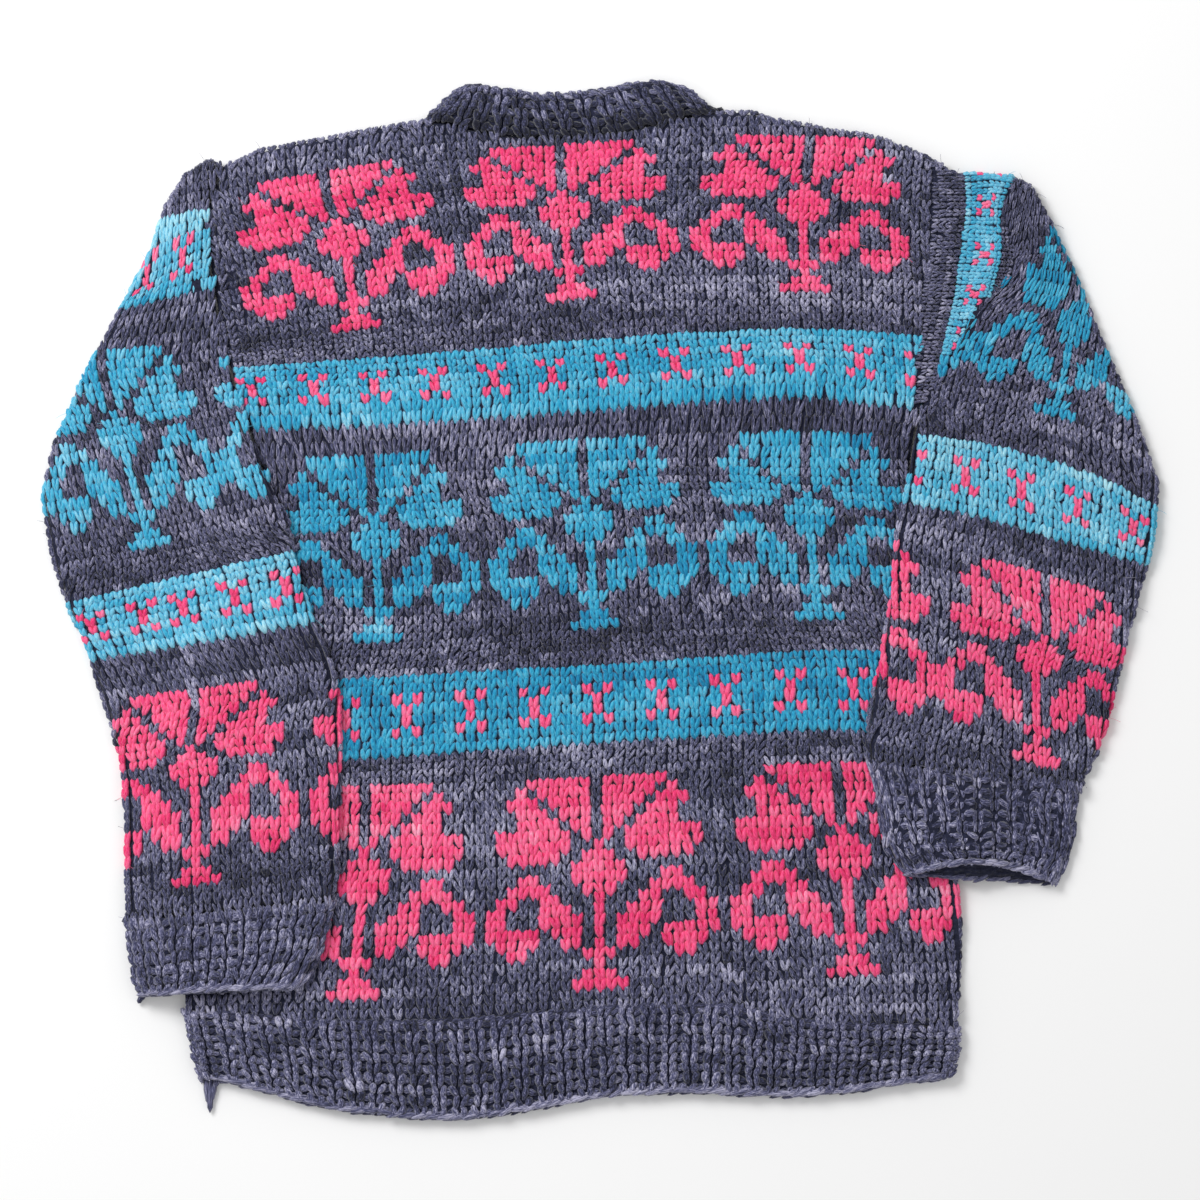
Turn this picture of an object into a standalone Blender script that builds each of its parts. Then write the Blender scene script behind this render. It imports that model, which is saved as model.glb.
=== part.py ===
"""Hand-knitted fair isle pullover, laid flat with its back up.

The garment lies on the XY plane, hem towards -Y and neck towards +Y, with +Z up.
Every piece is a wall of knitted cloth: the front panel lies on the ground, the back
panel lies on it, and the sleeves are flattened tubes that fold down over the sides.
Tables are in millimetres; meshes are made in metres.
"""

import math

import bmesh
import bpy
from mathutils import Vector

MM = 0.001
WALL = 4.0
SEAM_GAP = 0.5
LAYER_GAP = 0.3
BACK_BOTTOM = WALL + LAYER_GAP
BACK_TOP = BACK_BOTTOM + WALL
LIFT = BACK_TOP + LAYER_GAP
EDGE_DROP = 1.3
EDGE_INSET = 3.0

RIB_HEIGHT = 1.6
HEM_RIBS = 36
CUFF_RIBS = 10
NECK_RIBS = 13
POINTS_PER_RIB = 4

# Side edges of both body panels. Above LAP_START the sleeve is sewn to them.
# Below it they run hidden under the folded sleeves.
# columns: y, left x, right x
BODY_SIDES = [
    (-345, -287, 250),
    (-296, -298, 258),
    (-205, -294, 258),
    (-116, -284, 251),
    (-44, -272, 245),
    (14, -259, 238),
    (57, -246, 229),
    (88, -239, 222),
    (112, -250, 225),
    (143, -259, 231),
    (176, -269, 243),
    (215, -276, 253),
    (240, -280, 257),
    (271, -284, 262),
    (311, -271, 258),
]
LAP_START = 88.0

# Upper edge of the back panel: left shoulder, neck, right shoulder.
# columns: x, y
BACK_TOP_EDGE = [
    (-271, 311),
    (-243, 322),
    (-186, 333),
    (-153, 340),
    (-122, 344),
    (-103, 340),
    (-78, 334),
    (-45, 331),
    (-18, 330),
    (5, 333),
    (30, 339),
    (64, 347),
    (82, 349),
    (104, 350),
    (138, 342),
    (187, 334),
    (211, 328),
    (235, 317),
    (258, 305),
]

# Line where the hem rib is picked up, and the cast-on edge below it.
# columns: x, rib top y, cast-on y
HEM_LINES = [
    (-300, -296, -343),
    (-275, -297, -345),
    (-245, -300, -352),
    (-204, -303, -363),
    (-156, -304, -370),
    (-101, -303, -373),
    (-45, -298, -365),
    (9, -293, -356),
    (62, -292, -354),
    (95, -293, -355),
    (145, -303, -356),
    (174, -305, -354),
    (202, -306, -350),
    (227, -307, -346),
    (258, -308, -343),
]
HEM_LOWER_LEFT = -286.0
HEM_LOWER_RIGHT = 251.0
HEM_BULGE = 3.0

# Neckband, back half. Each row is one line across the band, from the seam to its
# upper edge.
# columns: share along the band, seam x, upper x, upper y
NECKBAND_BACK = [
    (0.0, -123, -100, 366),
    (0.12, -103, -84, 369),
    (0.28, -74, -62, 366),
    (0.45, -36, -36, 362.5),
    (0.62, 2, 2, 367.5),
    (0.78, 33, 27, 371.5),
    (0.9, 58, 47, 372.5),
    (1.0, 81, 66, 363),
]
NECK_CENTRE_X = -21.0
NECK_HALF_WIDTH = 102.0
SCOOP_DEPTH = 77.0
SCOOP_SIDE_CLEARANCE = 2.0
SCOOP_LOW_CLEARANCE = 1.2
NECK_FOLD_RAISE = 1.3
NECKBAND_WIDTH = 33.0
NECK_EDGE_DROP = 0.8
FRONT_NECK_STEPS = 16
NECK_LEFT_Y = 344.0
NECK_RIGHT_Y = 349.0

# How finely the panels are divided.
SCOOP_LINES = 12
SHOULDER_LINES = 5
PANEL_ROWS = 20
BACK_COLUMNS = 20
FRONT_HEM_COLUMNS = 26

# Where the back of the neck has no front under it, it sinks towards the ground.
SINK_CENTRE = (-21.0, 362.0)
SINK_HALF_WIDTH = 62.0
SINK_HALF_HEIGHT = 50.0
SINK_DEPTH = 3.5

# Sleeves. Each row is one line across the sleeve, from the outer fold to the fold
# under the arm. Loft is the air between the two layers at the middle of the line.
# columns: outer x, outer y, inner x, inner y, loft
LEFT_SLEEVE = [
    (-271, 311, -239, 88, 0.0),
    (-281, 315, -240, 84, 1.6),
    (-298, 303, -238, 79, 2.8),
    (-312, 281, -234, 73, 3.0),
    (-322, 250, -229, 66, 3.0),
    (-345, 206, -224, 55, 2.8),
    (-372, 157, -221, 43, 3.0),
    (-391, 112, -219, 30, 3.2),
    (-400, 76, -214, 10, 3.0),
    (-394, 34, -206, -18, 2.6),
    (-382, -5, -196, -38, 2.4),
    (-366, -44, -188, -62, 2.6),
    (-353, -83, -187, -95, 3.0),
    (-344, -118, -187, -130, 3.0),
    (-341, -160, -187, -165, 2.8),
    (-341, -200, -189, -195, 2.4),
    (-340, -230, -193, -217, 1.6),
]
RIGHT_SLEEVE = [
    (258, 304, 222, 88, 0.0),
    (269, 305, 221, 85, 0.3),
    (290, 303, 221, 82, 0.3),
    (296, 302, 220, 79, 3.8),
    (309, 296, 219, 76, 3.8),
    (322, 272, 217, 72, 3.4),
    (340, 235, 215, 64, 3.2),
    (357, 193, 213, 54, 3.0),
    (384, 130, 211, 38, 3.0),
    (400, 84, 210, 21, 3.2),
    (399, 48, 209, 2, 3.0),
    (387, 4, 205, -24, 2.8),
    (375, -41, 200, -50, 2.6),
    (364, -88, 194, -80, 2.8),
    (356, -112, 192, -101, 2.4),
    (345, -132, 194, -117, 1.6),
]
SEAM_CURVE_ROWS = 5.0
LOFT_STEEPNESS = 2.2
SEAM_POINT_MARGIN = 10.0

# Cuffs go on from the sleeves' last lines.
# columns: outer x, outer y, inner x, inner y, loft
LEFT_CUFF = [
    (-340, -230, -193, -217, 1.6),
    (-337, -250, -197, -236, 2.0),
    (-333, -270, -203, -256, 2.4),
    (-329, -284, -216, -278, 2.6),
]
RIGHT_CUFF = [
    (345, -132, 194, -117, 1.6),
    (341, -153, 200, -148, 2.4),
    (338, -179, 205, -176, 3.2),
    (327, -204, 220, -197, 3.6),
]
# How far the upper layer stops short of the lower one at each cuff's open end.
LEFT_CUFF_SETBACK = 1.5
RIGHT_CUFF_SETBACK = 11.0

# A sleeve comes down from the body to the ground within this distance.
RAMP = 42.0
RAMP_CLEARANCE = 8.0
UNDERARM_CLEARANCE = 14.0
UNDERARM_RAMP = 50.0

# Soft waves in the back panel, away from the sleeves.
# columns: centre x, centre y, half length, half width, angle in degrees, height
BACK_WAVES = [
    (-150, 262, 90, 30, -20, 1.6),
    (150, 268, 90, 32, 14, 1.8),
    (-20, 205, 150, 32, 4, 1.4),
    (-120, 92, 110, 30, 8, 1.7),
    (95, 70, 120, 30, -5, 1.5),
    (-60, -40, 130, 32, 6, 1.8),
    (95, -95, 90, 32, -12, 1.6),
    (-70, -190, 90, 36, 12, 1.8),
    (85, -230, 100, 34, -6, 1.7),
]
WAVE_LEFT_LIMIT = -170.0
WAVE_RIGHT_LIMIT = 180.0
WAVE_FADE = 45.0

NAVY = (0.075, 0.08, 0.125)


def remove_everything():
    """Clear the file's own objects."""
    for thing in list(bpy.data.objects):
        bpy.data.objects.remove(thing, do_unlink=True)


def wool(name, colour):
    """Matt wool in one colour."""
    material = bpy.data.materials.new(name)
    material.use_nodes = True
    shader = material.node_tree.nodes["Principled BSDF"]
    shader.inputs["Base Color"].default_value = (*colour, 1.0)
    shader.inputs["Roughness"].default_value = 0.95
    shader.inputs["Metallic"].default_value = 0.0
    return material


def ease(value):
    """Go smoothly from 0 to 1."""
    value = min(max(value, 0.0), 1.0)
    return value * value * (3.0 - 2.0 * value)


def mix(a, b, share):
    """Blend two numbers."""
    return a + (b - a) * share


def straight_value(rows, key, column):
    """Read a column at key, on straight lines between rows sorted by their first."""
    if key <= rows[0][0]:
        return rows[0][column]
    for low, high in zip(rows, rows[1:]):
        if key <= high[0]:
            share = (key - low[0]) / (high[0] - low[0])
            return mix(low[column], high[column], share)
    return rows[-1][column]


def curve_value(rows, key, column):
    """Read a column at key, on a smooth curve through rows sorted by their first."""
    if key <= rows[0][0]:
        return rows[0][column]
    if key >= rows[-1][0]:
        return rows[-1][column]
    index = next(i for i in range(len(rows) - 1) if key <= rows[i + 1][0])

    def slope(i):
        low = rows[max(i - 1, 0)]
        high = rows[min(i + 1, len(rows) - 1)]
        return (high[column] - low[column]) / (high[0] - low[0])

    start = rows[index]
    end = rows[index + 1]
    span = end[0] - start[0]
    t = (key - start[0]) / span
    rise = end[column] - start[column]
    value = start[column] + slope(index) * span * t
    value += (3 * rise - (2 * slope(index) + slope(index + 1)) * span) * t * t
    value += ((slope(index) + slope(index + 1)) * span - 2 * rise) * t * t * t
    return value


def side_x(y, side):
    """The body's side edge at height y; side is -1 for left and 1 for right."""
    return curve_value(BODY_SIDES, y, 1 if side < 0 else 2)


def hem_join_y(x):
    """The line where the hem rib is picked up."""
    return curve_value(HEM_LINES, x, 1)


def back_top_y(x):
    """The back panel's upper edge."""
    return curve_value(BACK_TOP_EDGE, x, 1)


def front_top_y(x):
    """The front panel's upper edge: the back's shoulders, with a deeper neck."""
    half_width = NECK_HALF_WIDTH + SCOOP_SIDE_CLEARANCE
    offset = (x - NECK_CENTRE_X) / half_width
    if abs(offset) >= 1.0:
        return back_top_y(x)
    rim = mix(NECK_LEFT_Y, NECK_RIGHT_Y, (offset + 1.0) / 2.0)
    return rim - (SCOOP_DEPTH + SCOOP_LOW_CLEARANCE) * math.sqrt(1.0 - offset * offset)


def neck_sink(x, y):
    """How far the back sinks into the open front neck."""
    across = (x - SINK_CENTRE[0]) / SINK_HALF_WIDTH
    along = (y - SINK_CENTRE[1]) / SINK_HALF_HEIGHT
    return SINK_DEPTH * ease(1.4 * (1.0 - math.hypot(across, along)))


def wave_height(x, y):
    """Height of the soft waves in the back panel."""
    fade = ease((x - WAVE_LEFT_LIMIT) / WAVE_FADE)
    fade *= ease((WAVE_RIGHT_LIMIT - x) / WAVE_FADE)
    total = 0.0
    for centre_x, centre_y, half_length, half_width, angle, height in BACK_WAVES:
        turn = math.radians(angle)
        along = (x - centre_x) * math.cos(turn) + (y - centre_y) * math.sin(turn)
        across = (y - centre_y) * math.cos(turn) - (x - centre_x) * math.sin(turn)
        reach = (along / half_length) ** 2 + (across / half_width) ** 2
        total += height * math.exp(-reach)
    return total * fade


def back_bottom(x, y):
    """Height of the back panel's underside."""
    return BACK_BOTTOM + wave_height(x, y) - neck_sink(x, y)


def ground(x, y):
    """Height of the front panel's underside, which lies flat."""
    return 0.0


def rib_rise(point_number):
    """Height of a rib at a point counted across the ribs."""
    return RIB_HEIGHT * (0.5 - 0.5 * math.cos(math.tau * point_number / POINTS_PER_RIB))


def even_lines(low, high, count):
    """Evenly spaced positions from low to high, both included."""
    return [mix(low, high, i / count) for i in range(count + 1)]


def with_rims(lines, inset):
    """Add a line just inside the first and the last one."""
    return [lines[0], lines[0] + inset] + lines[1:-1] + [lines[-1] - inset, lines[-1]]


def new_object(name, bm, material):
    """Put a mesh in millimetres into the scene in metres."""
    bmesh.ops.recalc_face_normals(bm, faces=bm.faces)
    bmesh.ops.triangulate(bm, faces=bm.faces)
    bmesh.ops.scale(bm, vec=Vector((MM, MM, MM)), verts=bm.verts)
    mesh = bpy.data.meshes.new(name)
    bm.to_mesh(mesh)
    bm.free()
    mesh.shade_smooth()
    mesh.materials.append(material)
    thing = bpy.data.objects.new(name, mesh)
    bpy.context.scene.collection.objects.link(thing)
    return thing


def rim_of(grid):
    """The points round a grid's four edges, in order."""
    sides = grid[0][:-1] + [row[-1] for row in grid[:-1]]
    return sides + grid[-1][:0:-1] + [row[0] for row in grid[:0:-1]]


def add_grid(bm, points):
    """Faces over a grid of points."""
    grid = [[bm.verts.new(p) for p in row] for row in points]
    for upper, lower in zip(grid, grid[1:]):
        for c in range(len(upper) - 1):
            bm.faces.new((upper[c], upper[c + 1], lower[c + 1], lower[c]))
    return grid


def grid_wall(name, top, bottom, flat, material):
    """A closed wall from two equal grids of points, its top and its underside.

    A flat underside is one face.
    """
    bm = bmesh.new()
    top_rim = rim_of(add_grid(bm, top))
    if flat:
        bottom_rim = [bm.verts.new(p) for p in rim_of(bottom)]
        bm.faces.new(bottom_rim)
    else:
        bottom_rim = rim_of(add_grid(bm, bottom))
    for k in range(len(top_rim)):
        n = (k + 1) % len(top_rim)
        bm.faces.new((top_rim[k], top_rim[n], bottom_rim[n], bottom_rim[k]))
    return new_object(name, bm, material)


def join_loops(bm, a, b):
    """Faces between two equal closed loops."""
    for k in range(len(a)):
        n = (k + 1) % len(a)
        bm.faces.new((a[k], a[n], b[n], b[k]))


def tube_wall(name, outer, inner, material):
    """A wall between equal stacks of loops, with both ends open."""
    bm = bmesh.new()
    outer_verts = [[bm.verts.new(p) for p in loop] for loop in outer]
    inner_verts = [[bm.verts.new(p) for p in loop] for loop in inner]
    for loops in (outer_verts, inner_verts):
        for a, b in zip(loops, loops[1:]):
            join_loops(bm, a, b)
    join_loops(bm, outer_verts[0], inner_verts[0])
    join_loops(bm, outer_verts[-1], inner_verts[-1])
    return new_object(name, bm, material)


def panel_point(u, v, top_y):
    """A point of a body panel: u runs across it, v from the shoulders to the rib."""
    x_top = mix(BACK_TOP_EDGE[0][0], BACK_TOP_EDGE[-1][0], u)
    x_bottom = mix(HEM_LINES[0][0], HEM_LINES[-1][0], u)
    y = mix(top_y(x_top), hem_join_y(x_bottom), v)
    return mix(side_x(y, -1), side_x(y, 1), u), y


def panel_grid(us, rows, top_y):
    """Places of a panel's points, with a line just inside each edge."""
    width = BACK_TOP_EDGE[-1][0] - BACK_TOP_EDGE[0][0]
    height = back_top_y(0.0) - hem_join_y(0.0)
    us = with_rims(us, EDGE_INSET / width)
    vs = with_rims(even_lines(0.0, 1.0, rows), EDGE_INSET / height)
    return [[panel_point(u, v, top_y) for u in us] for v in vs]


def make_panel(name, places, bottom_z, flat, material):
    """A body panel with softened edges."""
    rim = set(rim_of(places))
    top = []
    bottom = []
    for row in places:
        heights = [bottom_z(x, y) for x, y in row]
        drops = [EDGE_DROP if place in rim else 0.0 for place in row]
        top.append([(x, y, z + WALL - drop) for (x, y), z, drop in zip(row, heights, drops)])
        bottom.append([(x, y, z) for (x, y), z in zip(row, heights)])
    return grid_wall(name, top, bottom, flat, material)


def front_lines():
    """Lines down the front panel, closer together round the neck scoop."""
    left = BACK_TOP_EDGE[0][0]
    width = BACK_TOP_EDGE[-1][0] - left
    half_width = NECK_HALF_WIDTH + SCOOP_SIDE_CLEARANCE
    angles = even_lines(-math.pi / 2.0, math.pi / 2.0, SCOOP_LINES)
    scoop = [(NECK_CENTRE_X + half_width * math.sin(a) - left) / width for a in angles]
    left_side = even_lines(0.0, scoop[0], SHOULDER_LINES)[:-1]
    right_side = even_lines(scoop[-1], 1.0, SHOULDER_LINES)[1:]
    return left_side + scoop + right_side


def make_hem(name, join_line, is_back, material):
    """A hem band. The back one has its ribs raised on the upper side."""
    count = HEM_RIBS * POINTS_PER_RIB if is_back else FRONT_HEM_COLUMNS
    low = BACK_BOTTOM if is_back else 0.0
    top = []
    bottom = []
    for v in (0.0, 0.1, 0.9, 1.0):
        top_row = []
        bottom_row = []
        for i in range(count + 1):
            u = i / count
            x_top = mix(join_line[0][0], join_line[-1][0], u)
            x_bottom = mix(HEM_LOWER_LEFT, HEM_LOWER_RIGHT, u)
            y_top = straight_value(join_line, x_top, 1) - SEAM_GAP
            y_bottom = curve_value(HEM_LINES, x_bottom, 2)
            bulge = HEM_BULGE * math.sin(math.pi * v) * (2.0 * u - 1.0)
            x = mix(x_top, x_bottom, v) + bulge
            y = mix(y_top, y_bottom, v)
            on_rim = i in (0, count) or v in (0.0, 1.0)
            high = low + WALL
            if on_rim:
                high -= EDGE_DROP
            elif is_back:
                high += rib_rise(i)
            top_row.append((x, y, high))
            bottom_row.append((x, y, low))
        top.append(top_row)
        bottom.append(bottom_row)
    return grid_wall(name, top, bottom, True, material)


def support_height(x, y, side):
    """Height of what a sleeve lies on: the body panels, or the ground beside them."""
    outside = (x - side_x(y, side)) * side
    beside = 1.0 - ease((outside - RAMP_CLEARANCE) / RAMP)
    below_underarm = 1.0 - ease((y - LAP_START - UNDERARM_CLEARANCE) / UNDERARM_RAMP)
    return LIFT * beside * below_underarm


def armhole_shares(row, armhole):
    """Shares along the armhole line at which the body panels have a point."""
    margin = SEAM_POINT_MARGIN / (row[1] - row[3])
    every = sorted((row[1] - y) / (row[1] - row[3]) for y, x in armhole)
    return [share for share in every if margin < share < 1.0 - margin]


def armhole_bend(row, armhole, side, share):
    """How far the armhole seam lies from the straight line between its ends."""
    seam_x = straight_value(armhole, mix(row[1], row[3], share), 1) + side * SEAM_GAP
    return seam_x - mix(row[0], row[2], share)


def fold_points(near, beyond, base):
    """The rounded fold at one edge of a flattened tube, from high to low.

    near is the last place on the flat part, beyond the one before it.
    """
    away = Vector((near[0] - beyond[0], near[1] - beyond[1])).normalized()
    mid = base + WALL + LAYER_GAP / 2.0

    def place(reach, z):
        return (near[0] + away.x * reach, near[1] + away.y * reach, z)

    diagonal = math.sqrt(0.5) * WALL
    slit = 0.3 * LAYER_GAP
    outer = (place(diagonal, mid + diagonal), place(WALL, mid), place(diagonal, mid - diagonal))
    inner = (place(LAYER_GAP, mid + slit), place(2 * LAYER_GAP, mid), place(LAYER_GAP, mid - slit))
    return outer, inner


def tube_section(places, side, loft, ribbed, setback):
    """Outer and inner loops of a flattened tube over the places across it.

    setback draws the middle of the upper layer back from an open end.
    """
    last = len(places) - 1
    lows = [support_height(x, y, side) for x, y in places]
    outer_top = []
    inner_top = []
    for k, (x, y) in enumerate(places):
        arch = math.sin(math.pi * k / last)
        gap = LAYER_GAP + loft * min(1.0, LOFT_STEEPNESS * arch)
        under = lows[k] + WALL + gap
        rise = rib_rise(k) if ribbed else 0.0
        inner_top.append((x, y + setback * arch, under))
        outer_top.append((x, y + setback * arch, under + WALL + rise))
    outer_bottom = [(x, y, low) for (x, y), low in zip(places, lows)]
    inner_bottom = [(x, y, low + WALL) for (x, y), low in zip(places, lows)]
    far_outer, far_inner = fold_points(places[-1], places[-2], lows[-1])
    near_outer, near_inner = fold_points(places[0], places[1], lows[0])
    outer = outer_top + list(far_outer) + outer_bottom[::-1] + list(near_outer[::-1])
    inner = inner_top + list(far_inner) + inner_bottom[::-1] + list(near_inner[::-1])
    return outer, inner


def fold_share(row):
    """The share of a tube's width that one wall's thickness takes."""
    return WALL / math.hypot(row[2] - row[0], row[3] - row[1])


def tube_place(row, share):
    """A place across a tube at one row."""
    return mix(row[0], row[2], share), mix(row[1], row[3], share)


def make_sleeve(name, rows, side, armhole, material):
    """A sleeve from its armhole to the rib line. armhole is the body's edge, by y."""
    end = list(rows[-1])
    end[1] += SEAM_GAP
    end[3] += SEAM_GAP
    inside = armhole_shares(rows[0], armhole)
    outer = []
    inner = []
    for number, row in enumerate(rows[:-1] + [end]):
        armhole_share = 1.0 - ease(number / SEAM_CURVE_ROWS)
        places = []
        for share in [fold_share(row)] + inside + [1.0 - fold_share(row)]:
            x, y = tube_place(row, share)
            bend = armhole_bend(rows[0], armhole, side, share)
            places.append((x + bend * armhole_share, y))
        outer_loop, inner_loop = tube_section(places, side, row[4], False, 0.0)
        outer.append(outer_loop)
        inner.append(inner_loop)
    return tube_wall(name, outer, inner, material)


def make_cuff(name, rows, side, setback, material):
    """A ribbed cuff from the sleeve's last line to its cast-on edge."""
    spans = CUFF_RIBS * POINTS_PER_RIB
    outer = []
    inner = []
    for row in rows:
        shares = even_lines(fold_share(row), 1.0 - fold_share(row), spans)
        places = [tube_place(row, share) for share in shares]
        back = setback if row is rows[-1] else 0.0
        outer_loop, inner_loop = tube_section(places, side, row[4], True, back)
        outer.append(outer_loop)
        inner.append(inner_loop)
    return tube_wall(name, outer, inner, material)


def neck_section(seam, upper, middle_z, turn, side, rib):
    """Outer and inner points across the neckband at one station.

    turn is the angle of the outer side: 90 degrees up, 0 sideways, -90 down.
    """
    half = WALL / 2.0
    soft = half - NECK_EDGE_DROP
    push_x = math.cos(math.radians(turn)) * side
    push_z = math.sin(math.radians(turn))
    outer = []
    inner = []
    for share in (0.0, 0.1, 0.9, 1.0):
        x = mix(seam[0], upper[0], share)
        y = mix(seam[1], upper[1], share)
        reach = soft if share in (0.0, 1.0) else half + rib
        outer.append((x + push_x * reach, y, middle_z + push_z * reach))
        inner.append((x - push_x * half, y, middle_z - push_z * half))
    return outer + inner[::-1]


def neck_back_sections(join_line):
    """The ribbed half that faces up, with the seam and upper edge of each section."""
    steps = NECK_RIBS * POINTS_PER_RIB
    lines = []
    sections = []
    for i in range(steps + 1):
        share = i / steps
        seam_x = curve_value(NECKBAND_BACK, share, 1)
        seam = (seam_x, straight_value(join_line, seam_x, 1) + SEAM_GAP)
        upper = (curve_value(NECKBAND_BACK, share, 2), curve_value(NECKBAND_BACK, share, 3))
        middle_x = mix(seam[0], upper[0], 0.5)
        middle_y = mix(seam[1], upper[1], 0.5)
        height = BACK_BOTTOM + WALL / 2.0 - neck_sink(middle_x, middle_y)
        lines.append((seam, upper))
        sections.append(neck_section(seam, upper, height, 90.0, 1, rib_rise(i)))
    return lines, sections


def neck_fold_sections(line, side, turns):
    """The fold at one end of the flattened neckband."""
    radius = BACK_BOTTOM / 2.0
    sections = []
    for turn in turns:
        push = side * radius * math.cos(math.radians(turn))
        height = WALL / 2.0 + radius * (1.0 + math.sin(math.radians(turn)))
        seam = (line[0][0] + push, line[0][1] + NECK_FOLD_RAISE)
        upper = (line[1][0] + push, line[1][1])
        sections.append(neck_section(seam, upper, height, turn, side, 0.0))
    return sections


def neck_front_sections(left, right):
    """The plain half that lies on the ground, from right to left round the scoop."""
    steps = FRONT_NECK_STEPS
    upper_half = (right[1][0] - left[1][0]) / 2.0
    upper_middle = (right[1][0] + left[1][0]) / 2.0
    sections = []
    for i in range(steps + 1):
        angle = math.pi * i / steps
        seam_level = mix(right[0][1], left[0][1], i / steps) + NECK_FOLD_RAISE
        upper_level = mix(right[1][1], left[1][1], i / steps)
        seam_x = NECK_CENTRE_X + NECK_HALF_WIDTH * math.cos(angle)
        seam_y = seam_level - SCOOP_DEPTH * math.sin(angle)
        drop = upper_level - (seam_level - SCOOP_DEPTH + NECKBAND_WIDTH)
        upper = (upper_middle + upper_half * math.cos(angle), upper_level - drop * math.sin(angle))
        sections.append(neck_section((seam_x, seam_y), upper, WALL / 2.0, -90.0, 1, 0.0))
    return sections


def make_neckband(name, join_line, material):
    """The neckband: one closed band, flattened with a fold at each end."""
    lines, sections = neck_back_sections(join_line)
    sections += neck_fold_sections(lines[-1], 1, (45.0, 0.0, -45.0))
    sections += neck_front_sections(lines[0], lines[-1])
    sections += neck_fold_sections(lines[0], -1, (-45.0, 0.0, 45.0))
    bm = bmesh.new()
    loops = [[bm.verts.new(p) for p in section] for section in sections]
    for a, b in zip(loops, loops[1:] + loops[:1]):
        join_loops(bm, a, b)
    return new_object(name, bm, material)


def build():
    """Make every piece of the pullover."""
    remove_everything()
    front = panel_grid(front_lines(), PANEL_ROWS, front_top_y)
    back = panel_grid(even_lines(0.0, 1.0, BACK_COLUMNS), PANEL_ROWS, back_top_y)
    left_armhole = sorted((row[0][1], row[0][0]) for row in back)
    right_armhole = sorted((row[-1][1], row[-1][0]) for row in back)
    make_panel("front", front, ground, True, wool("front_wool", NAVY))
    make_panel("back", back, back_bottom, False, wool("back_wool", NAVY))
    make_hem("hem_front", front[-1], False, wool("hem_front_wool", NAVY))
    make_hem("hem_back", back[-1], True, wool("hem_back_wool", NAVY))
    make_neckband("neckband", back[0], wool("neckband_wool", NAVY))
    make_sleeve("sleeve_left", LEFT_SLEEVE, -1, left_armhole, wool("sleeve_left_wool", NAVY))
    make_sleeve("sleeve_right", RIGHT_SLEEVE, 1, right_armhole, wool("sleeve_right_wool", NAVY))
    make_cuff("cuff_left", LEFT_CUFF, -1, LEFT_CUFF_SETBACK, wool("cuff_left_wool", NAVY))
    make_cuff("cuff_right", RIGHT_CUFF, 1, RIGHT_CUFF_SETBACK, wool("cuff_right_wool", NAVY))


build()
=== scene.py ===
import math

import bmesh
import bpy
import numpy as np
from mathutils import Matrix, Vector
from mathutils.bvhtree import BVHTree


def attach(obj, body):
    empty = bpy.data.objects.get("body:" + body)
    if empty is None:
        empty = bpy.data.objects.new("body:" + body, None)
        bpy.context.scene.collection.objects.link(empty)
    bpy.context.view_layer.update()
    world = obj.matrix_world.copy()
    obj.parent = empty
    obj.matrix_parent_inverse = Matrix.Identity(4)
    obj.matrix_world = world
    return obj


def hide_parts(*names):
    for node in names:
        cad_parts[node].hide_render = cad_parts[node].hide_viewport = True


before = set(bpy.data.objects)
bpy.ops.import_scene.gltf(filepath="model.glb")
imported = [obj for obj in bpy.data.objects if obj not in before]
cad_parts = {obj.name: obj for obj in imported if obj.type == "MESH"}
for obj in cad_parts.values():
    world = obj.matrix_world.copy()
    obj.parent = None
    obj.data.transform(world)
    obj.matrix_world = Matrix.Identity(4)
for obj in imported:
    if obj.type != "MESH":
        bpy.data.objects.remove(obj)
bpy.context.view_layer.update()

# Lengths in the tables are millimetres in the frame, or pixels of the photo where the
# name says so. Meshes are in metres.
MM = 0.001
PHOTO_SCALE = 0.72
PHOTO_CENTRE = (600.0, 599.0)

NAVY, PINK, TURQUOISE = 0, 1, 2
YARN_NAMES = ("navy", "pink", "turquoise")

# The cloth under the stitches lies this far inside the CAD wall's faces.
CLOTH_INSET = 1.1
STITCH_LIFT = 0.35
# No wool is lower than this: it is pressed on the surface it lies on.
PRESSED_HEIGHT = 0.2
UNDER_STITCH_HEIGHT = 1.5
# The underside has stitches only where its cloth is lower than this.
UNDERSIDE_REACH = 4.0
FOLD_RADIUS = 4.2
# How far round a fold the stitches go, in radians.
FOLD_LIMIT = 2.3
UNDER_FOLD_LIMIT = 1.2
# The body's stitches stop this far below the neckband, baring dark cloth as painted shade, and
# this far under the sleeves.
NECK_CREASE = 0.8
HIDE_INSET = 7.0

# How the stitches vary: shares of a stitch, and millimetres for how far out they stand.
SIZE_VARIES, LEAN_VARIES, PLACE_VARIES, OUT_VARIES = 0.09, 0.13, 0.05, 0.2
# How the shade varies along a row, by patches and from stitch to stitch, and how much of
# that each yarn takes.
STREAK_SHADE, PATCH_SHADE, STITCH_SHADE = 0.11, 0.07, 0.1
YARN_DRIFT = (1.0, 0.75, 0.7)
MIDDLE_TONE = 0.5
CROSS_TONE = 0.1
# Each stitch moves its mottling by up to this much, so that no two are alike.
MOST_SEED = 40.0
# A yarn with more stitches than this on one panel is made as two pieces.
MOST_STITCHES = 3000

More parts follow.
